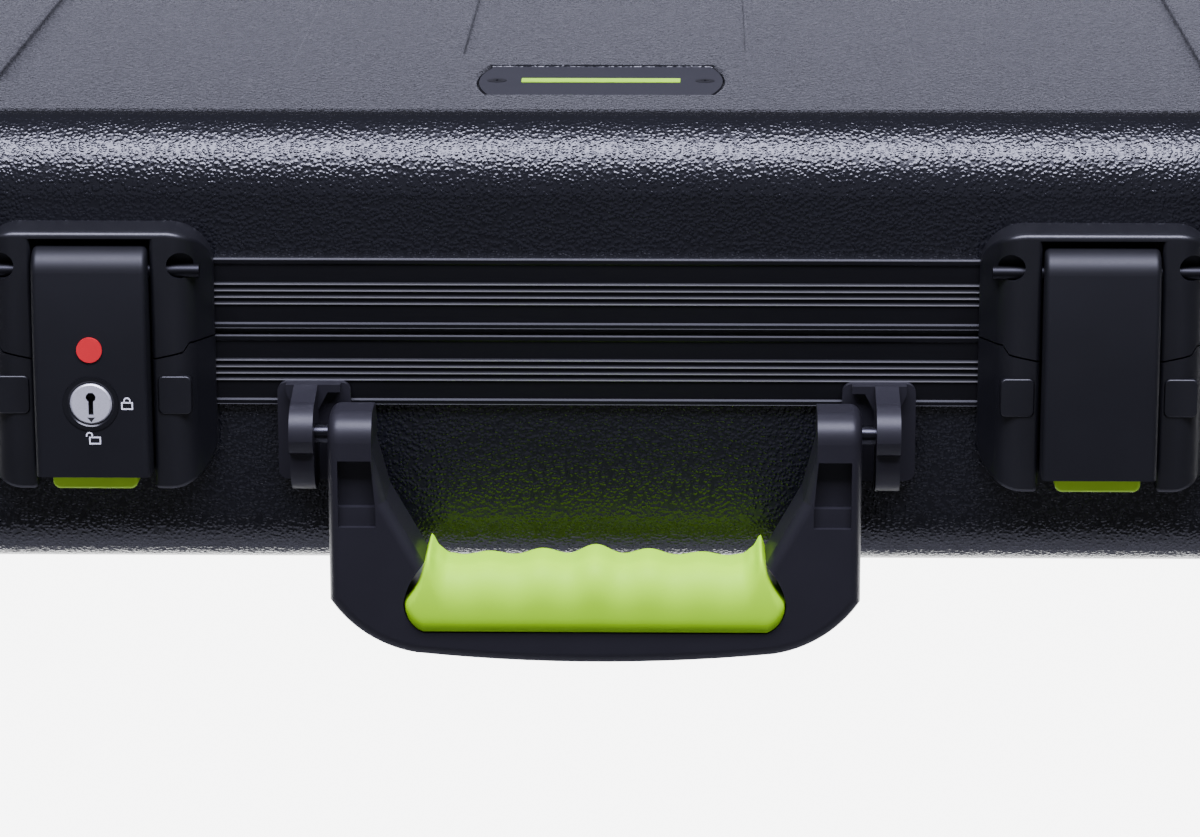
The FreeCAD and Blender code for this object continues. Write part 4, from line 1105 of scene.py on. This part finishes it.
def egg_crate(tree, given):
    """Closed block whose underside has rounded peaks, with rounded corners in plan."""
    box = tree.node(
        "GeometryNodeMeshCube",
        None,
        {"Size": given["Size"], "Vertices X": 230, "Vertices Y": 174, "Vertices Z": 4},
    )
    x, y, z = tree.axes(tree.node("GeometryNodeInputPosition"))
    half_x, half_y, half_z = [side * 0.5 for side in tree.axes(given["Size"])]
    radius = given["Corner radius"]
    # the part of each coordinate that lies past the corner's centre, from 0 to 1
    past_x = tree.larger(abs(x) - half_x + radius, 0.0) / radius
    past_y = tree.larger(abs(y) - half_y + radius, 0.0) / radius
    round_x = (1.0 - past_y * past_y * 0.5) ** 0.5
    round_y = (1.0 - past_x * past_x * 0.5) ** 0.5
    plan_x = tree.sign(x) * (abs(x) - past_x * radius * (1.0 - round_x))
    plan_y = tree.sign(y) * (abs(y) - past_y * radius * (1.0 - round_y))
    turn = 2 * math.pi
    wave_x = 0.5 + 0.5 * tree.cosine((plan_x - given["Start X"]) / given["Pitch"] * turn)
    wave_y = 0.5 + 0.5 * tree.cosine((plan_y - given["Start Y"]) / given["Pitch"] * turn)
    depth = given["Peak height"] * (1.0 - wave_x * wave_y)
    low = z < 0.0 - half_z * 0.5
    # how far a point lies inside the plan's outline, and the drop of the rounded top there
    reach = (past_x * past_x + past_y * past_y - past_x * past_x * past_y * past_y) ** 0.5
    inside = tree.smaller((1.0 - reach) * radius / given["Top round"], 1.0)
    drop = given["Top round"] * (1.0 - (1.0 - (1.0 - inside) * (1.0 - inside)) ** 0.5)
    height = (z + half_z) * (1.0 - drop / (half_z * 2.0)) - half_z + low * depth
    moved = tree.node("ShaderNodeCombineXYZ", None, {0: plan_x, 1: plan_y, 2: height})
    placed = tree.node(
        "ShaderNodeVectorMath", {"operation": "ADD"}, {0: moved, 1: given["Centre"]}
    )
    return tree.node(
        "GeometryNodeSetPosition", None, {"Geometry": box, "Position": placed}
    )


class CASE_OT_foam(bpy.types.Operator):
    """Make the foam tray, the foam pad below it and the lid's foam"""

    bl_idname = "mic_case.foam"
    bl_label = "Foam"

    def execute(self, context):
        props = context.scene.case_finish
        sizes = context.scene.foam_sizes
        foam = open_foam("open_foam", props.foam_colour)
        cut_pieces = {"foam_tray": "cut_foam_tray", "base_foam_pad": "foam_under_pad"}
        for node, name in cut_pieces.items():
            piece = merged_copy(node, name)
            bevel = piece.modifiers.new("edges", "BEVEL")
            bevel.width = sizes.edge_round
            bevel.segments = 3
            bevel.limit_method = "ANGLE"
            bevel.angle_limit = math.radians(40)
            apply_modifiers(piece)
            stands_for(piece, foam, "base", "foam", node)
        low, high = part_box("lid_foam")
        size = high - low
        centre = (low + high) / 2
        pitch = sizes.peak_pitch
        lid_foam = grown(
            "peaked_lid_foam",
            egg_crate,
            {
                "Size": tuple(size),
                "Centre": tuple(centre),
                "Pitch": pitch,
                "Peak height": sizes.peak_height,
                "Corner radius": sizes.corner_radius,
                "Top round": sizes.top_round,
                "Start X": sizes.peak_start[0],
                "Start Y": sizes.peak_start[1],
            },
            foam,
        )
        stands_for(lid_foam, foam, "lid", "foam", "lid_foam")
        return {"FINISHED"}


def rivet_rows(tree, given):
    """Two pairs of domed rivet heads along x."""
    sizes = {"Segments": 32, "Rings": 16, "Radius": 1.0}
    ball = tree.node("GeometryNodeMeshUVSphere", None, sizes)
    radius = given["Radius"]
    spans = {0: radius, 1: given["Rise"], 2: radius}
    shape = tree.node("ShaderNodeCombineXYZ", None, spans)
    dome = tree.node("GeometryNodeTransform", None, {"Geometry": ball, "Scale": shape})
    gap = tree.node("ShaderNodeCombineXYZ", None, {0: given["Pair gap"]})
    reach = tree.node("ShaderNodeCombineXYZ", None, {0: given["Hinge gap"]})
    row = {"Count": 2, "Start Location": given["Start"], "Offset": gap}
    pair = tree.node("GeometryNodeMeshLine", None, row)
    hinges = tree.node("GeometryNodeMeshLine", None, {"Count": 2, "Offset": reach})
    on_points = "GeometryNodeInstanceOnPoints"
    heads = tree.node(on_points, None, {"Points": pair, "Instance": dome})
    return tree.node(on_points, None, {"Points": hinges, "Instance": heads})


class CASE_OT_hinges(bpy.types.Operator):
    """Finish the rear hinges and make their rivets"""

    bl_idname = "mic_case.hinges"
    bl_label = "Hinges"

    def execute(self, context):
        steel = brushed_metal("hinge_steel", HINGE_STEEL, 0.32)
        pin = brushed_metal("hinge_pin_steel", PIN_STEEL, 0.22)
        for side in ("left", "right"):
            finish_nodes(steel, f"base_hinge_leaf_{side}", f"lid_hinge_leaf_{side}")
            finish_nodes(pin, f"hinge_pin_{side}")
        for part in ("base", "lid"):
            node = f"{part}_hinge_rivets"
            low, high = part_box(node)
            leaf_low, leaf_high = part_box(f"{part}_hinge_leaf_left")
            radius = (high.z - low.z) / 2
            centre = (leaf_low.x + leaf_high.x) / 2
            start = Vector((low.x + radius, low.y, (low.z + high.z) / 2))
            rivets = grown(
                f"{part}_rivet_heads",
                rivet_rows,
                {
                    "Radius": radius,
                    "Rise": high.y - low.y,
                    "Start": tuple(start),
                    "Pair gap": (centre - start.x) * 2,
                    "Hinge gap": -centre * 2,
                },
                steel,
            )
            stands_for(rivets, steel, part, "steel", node)
        return {"FINISHED"}


class CASE_OT_stage(bpy.types.Operator):
    """Make the table, the floor, the lights and the camera"""

    bl_idname = "mic_case.stage"
    bl_label = "Stage"

    def execute(self, context):
        settings = context.scene.case_stage

        near_white = (0.86, 0.86, 0.86, 1), (0.9, 0.9, 0.9, 1)
        light_grey = (0.53, 0.53, 0.54, 1), (0.57, 0.57, 0.58, 1)
        # the apron glows with painted light of its own, though it is no lamp, which keeps
        # the table's front near white
        glow = {"Emission_Color": WHITE, "Emission_Strength": settings.table_glow}
        pale = pale_board("pale_table", *near_white, 0.6)
        lit = pale_board("lit_apron", *near_white, 0.6, **glow)
        dull = pale_board("pale_floor", *light_grey, 0.8)
        for name, finish, low, high in (
            ("table", pale, (-1.6, -0.044, -0.14), (1.6, 2.2, 0.0)),
            ("table_apron", lit, (-0.9, -0.05, -0.14), (0.9, -0.044, -0.028)),
            ("floor", dull, (-1.6, -0.9, -0.82), (1.6, 2.2, -0.8)),
        ):
            work = bmesh.new()
            bmesh.ops.create_cube(work, size=1.0)
            low, high = Vector(low), Vector(high)
            for vert in work.verts:
                vert.co = [a + (b - a) * (c + 0.5) for a, b, c in zip(low, high, vert.co)]
            slab = from_bmesh(name, work, smooth=False)
            bevel = slab.modifiers.new("edge", "BEVEL")
            bevel.width = 0.002
            bevel.segments = 4
            apply_modifiers(slab)
            paint(slab, finish)
        world = bpy.data.worlds.new("room")
        world.use_nodes = True
        sky = world.node_tree.nodes["Background"]
        sky.inputs["Color"].default_value = WHITE
        sky.inputs["Strength"].default_value = settings.surround
        bpy.context.scene.world = world
        for name, place, aim, size, power in (
            ("key", (0, -0.75, 1.25), (0, -0.15, 0.1), (1.6, 0.5), settings.key_power),
            ("rear", (0, 1.7, 0.36), (0, 0, 0.12), (3.0, 0.4), settings.rear_power),
            ("fill", (0, -1.9, 0.1), (0, -0.2, 0), (2.4, 0.6), settings.fill_power),
        ):
            lamp = bpy.data.lights.new(name, "AREA")
            lamp.shape = "RECTANGLE"
            lamp.size, lamp.size_y = size
            lamp.energy = power
            lamp.color = settings.lamp_tint
            holder = linked(name, lamp)
            away = Vector(place) - Vector(aim)
            turn = away.to_track_quat("Z", "Y").to_matrix().to_4x4()
            holder.matrix_world = Matrix.Translation(place) @ turn
        lens = bpy.data.cameras.new("camera")
        lens.lens = settings.lens
        lens.sensor_width = 36.0
        lens.sensor_fit = "HORIZONTAL"
        lens.clip_start, lens.clip_end = 0.05, 50.0
        eye = linked("camera", lens)
        eye.location = settings.camera_place
        eye.rotation_euler = settings.camera_turn
        context.scene.camera = eye
        return {"FINISHED"}


OPERATORS = (
    CASE_OT_shells,
    CASE_OT_valances,
    CASE_OT_latches,
    CASE_OT_lock,
    CASE_OT_handle,
    CASE_OT_name_plate,
    CASE_OT_foam,
    CASE_OT_hinges,
    CASE_OT_stage,
)
GROUPS = {
    "case_finish": CaseFinish,
    "foam_sizes": FoamSizes,
    "grip_sizes": GripSizes,
    "case_signs": SignSizes,
    "case_stage": StageSettings,
}


class CASE_PT_panel(bpy.types.Panel):
    """Lists the pieces of the case"""

    bl_idname = "CASE_PT_panel"
    bl_label = "Microphone case"
    bl_space_type = "VIEW_3D"
    bl_region_type = "UI"
    bl_category = "Case"

    def draw(self, context):
        for operator in OPERATORS:
            self.layout.operator(operator.bl_idname)


def register():
    for kind in (*GROUPS.values(), *OPERATORS, CASE_PT_panel):
        bpy.utils.register_class(kind)
    for name, kind in GROUPS.items():
        setattr(bpy.types.Scene, name, bpy.props.PointerProperty(type=kind))


def unregister():
    for name in GROUPS:
        delattr(bpy.types.Scene, name)
    for kind in reversed((*GROUPS.values(), *OPERATORS, CASE_PT_panel)):
        bpy.utils.unregister_class(kind)


def main():
    register()
    bpy.ops.mic_case.shells()
    bpy.ops.mic_case.valances()
    bpy.ops.mic_case.latches()
    bpy.ops.mic_case.lock()
    bpy.ops.mic_case.handle()
    bpy.ops.mic_case.name_plate()
    bpy.ops.mic_case.foam()
    bpy.ops.mic_case.hinges()
    bpy.ops.mic_case.stage()


if __name__ == "__main__":
    main()
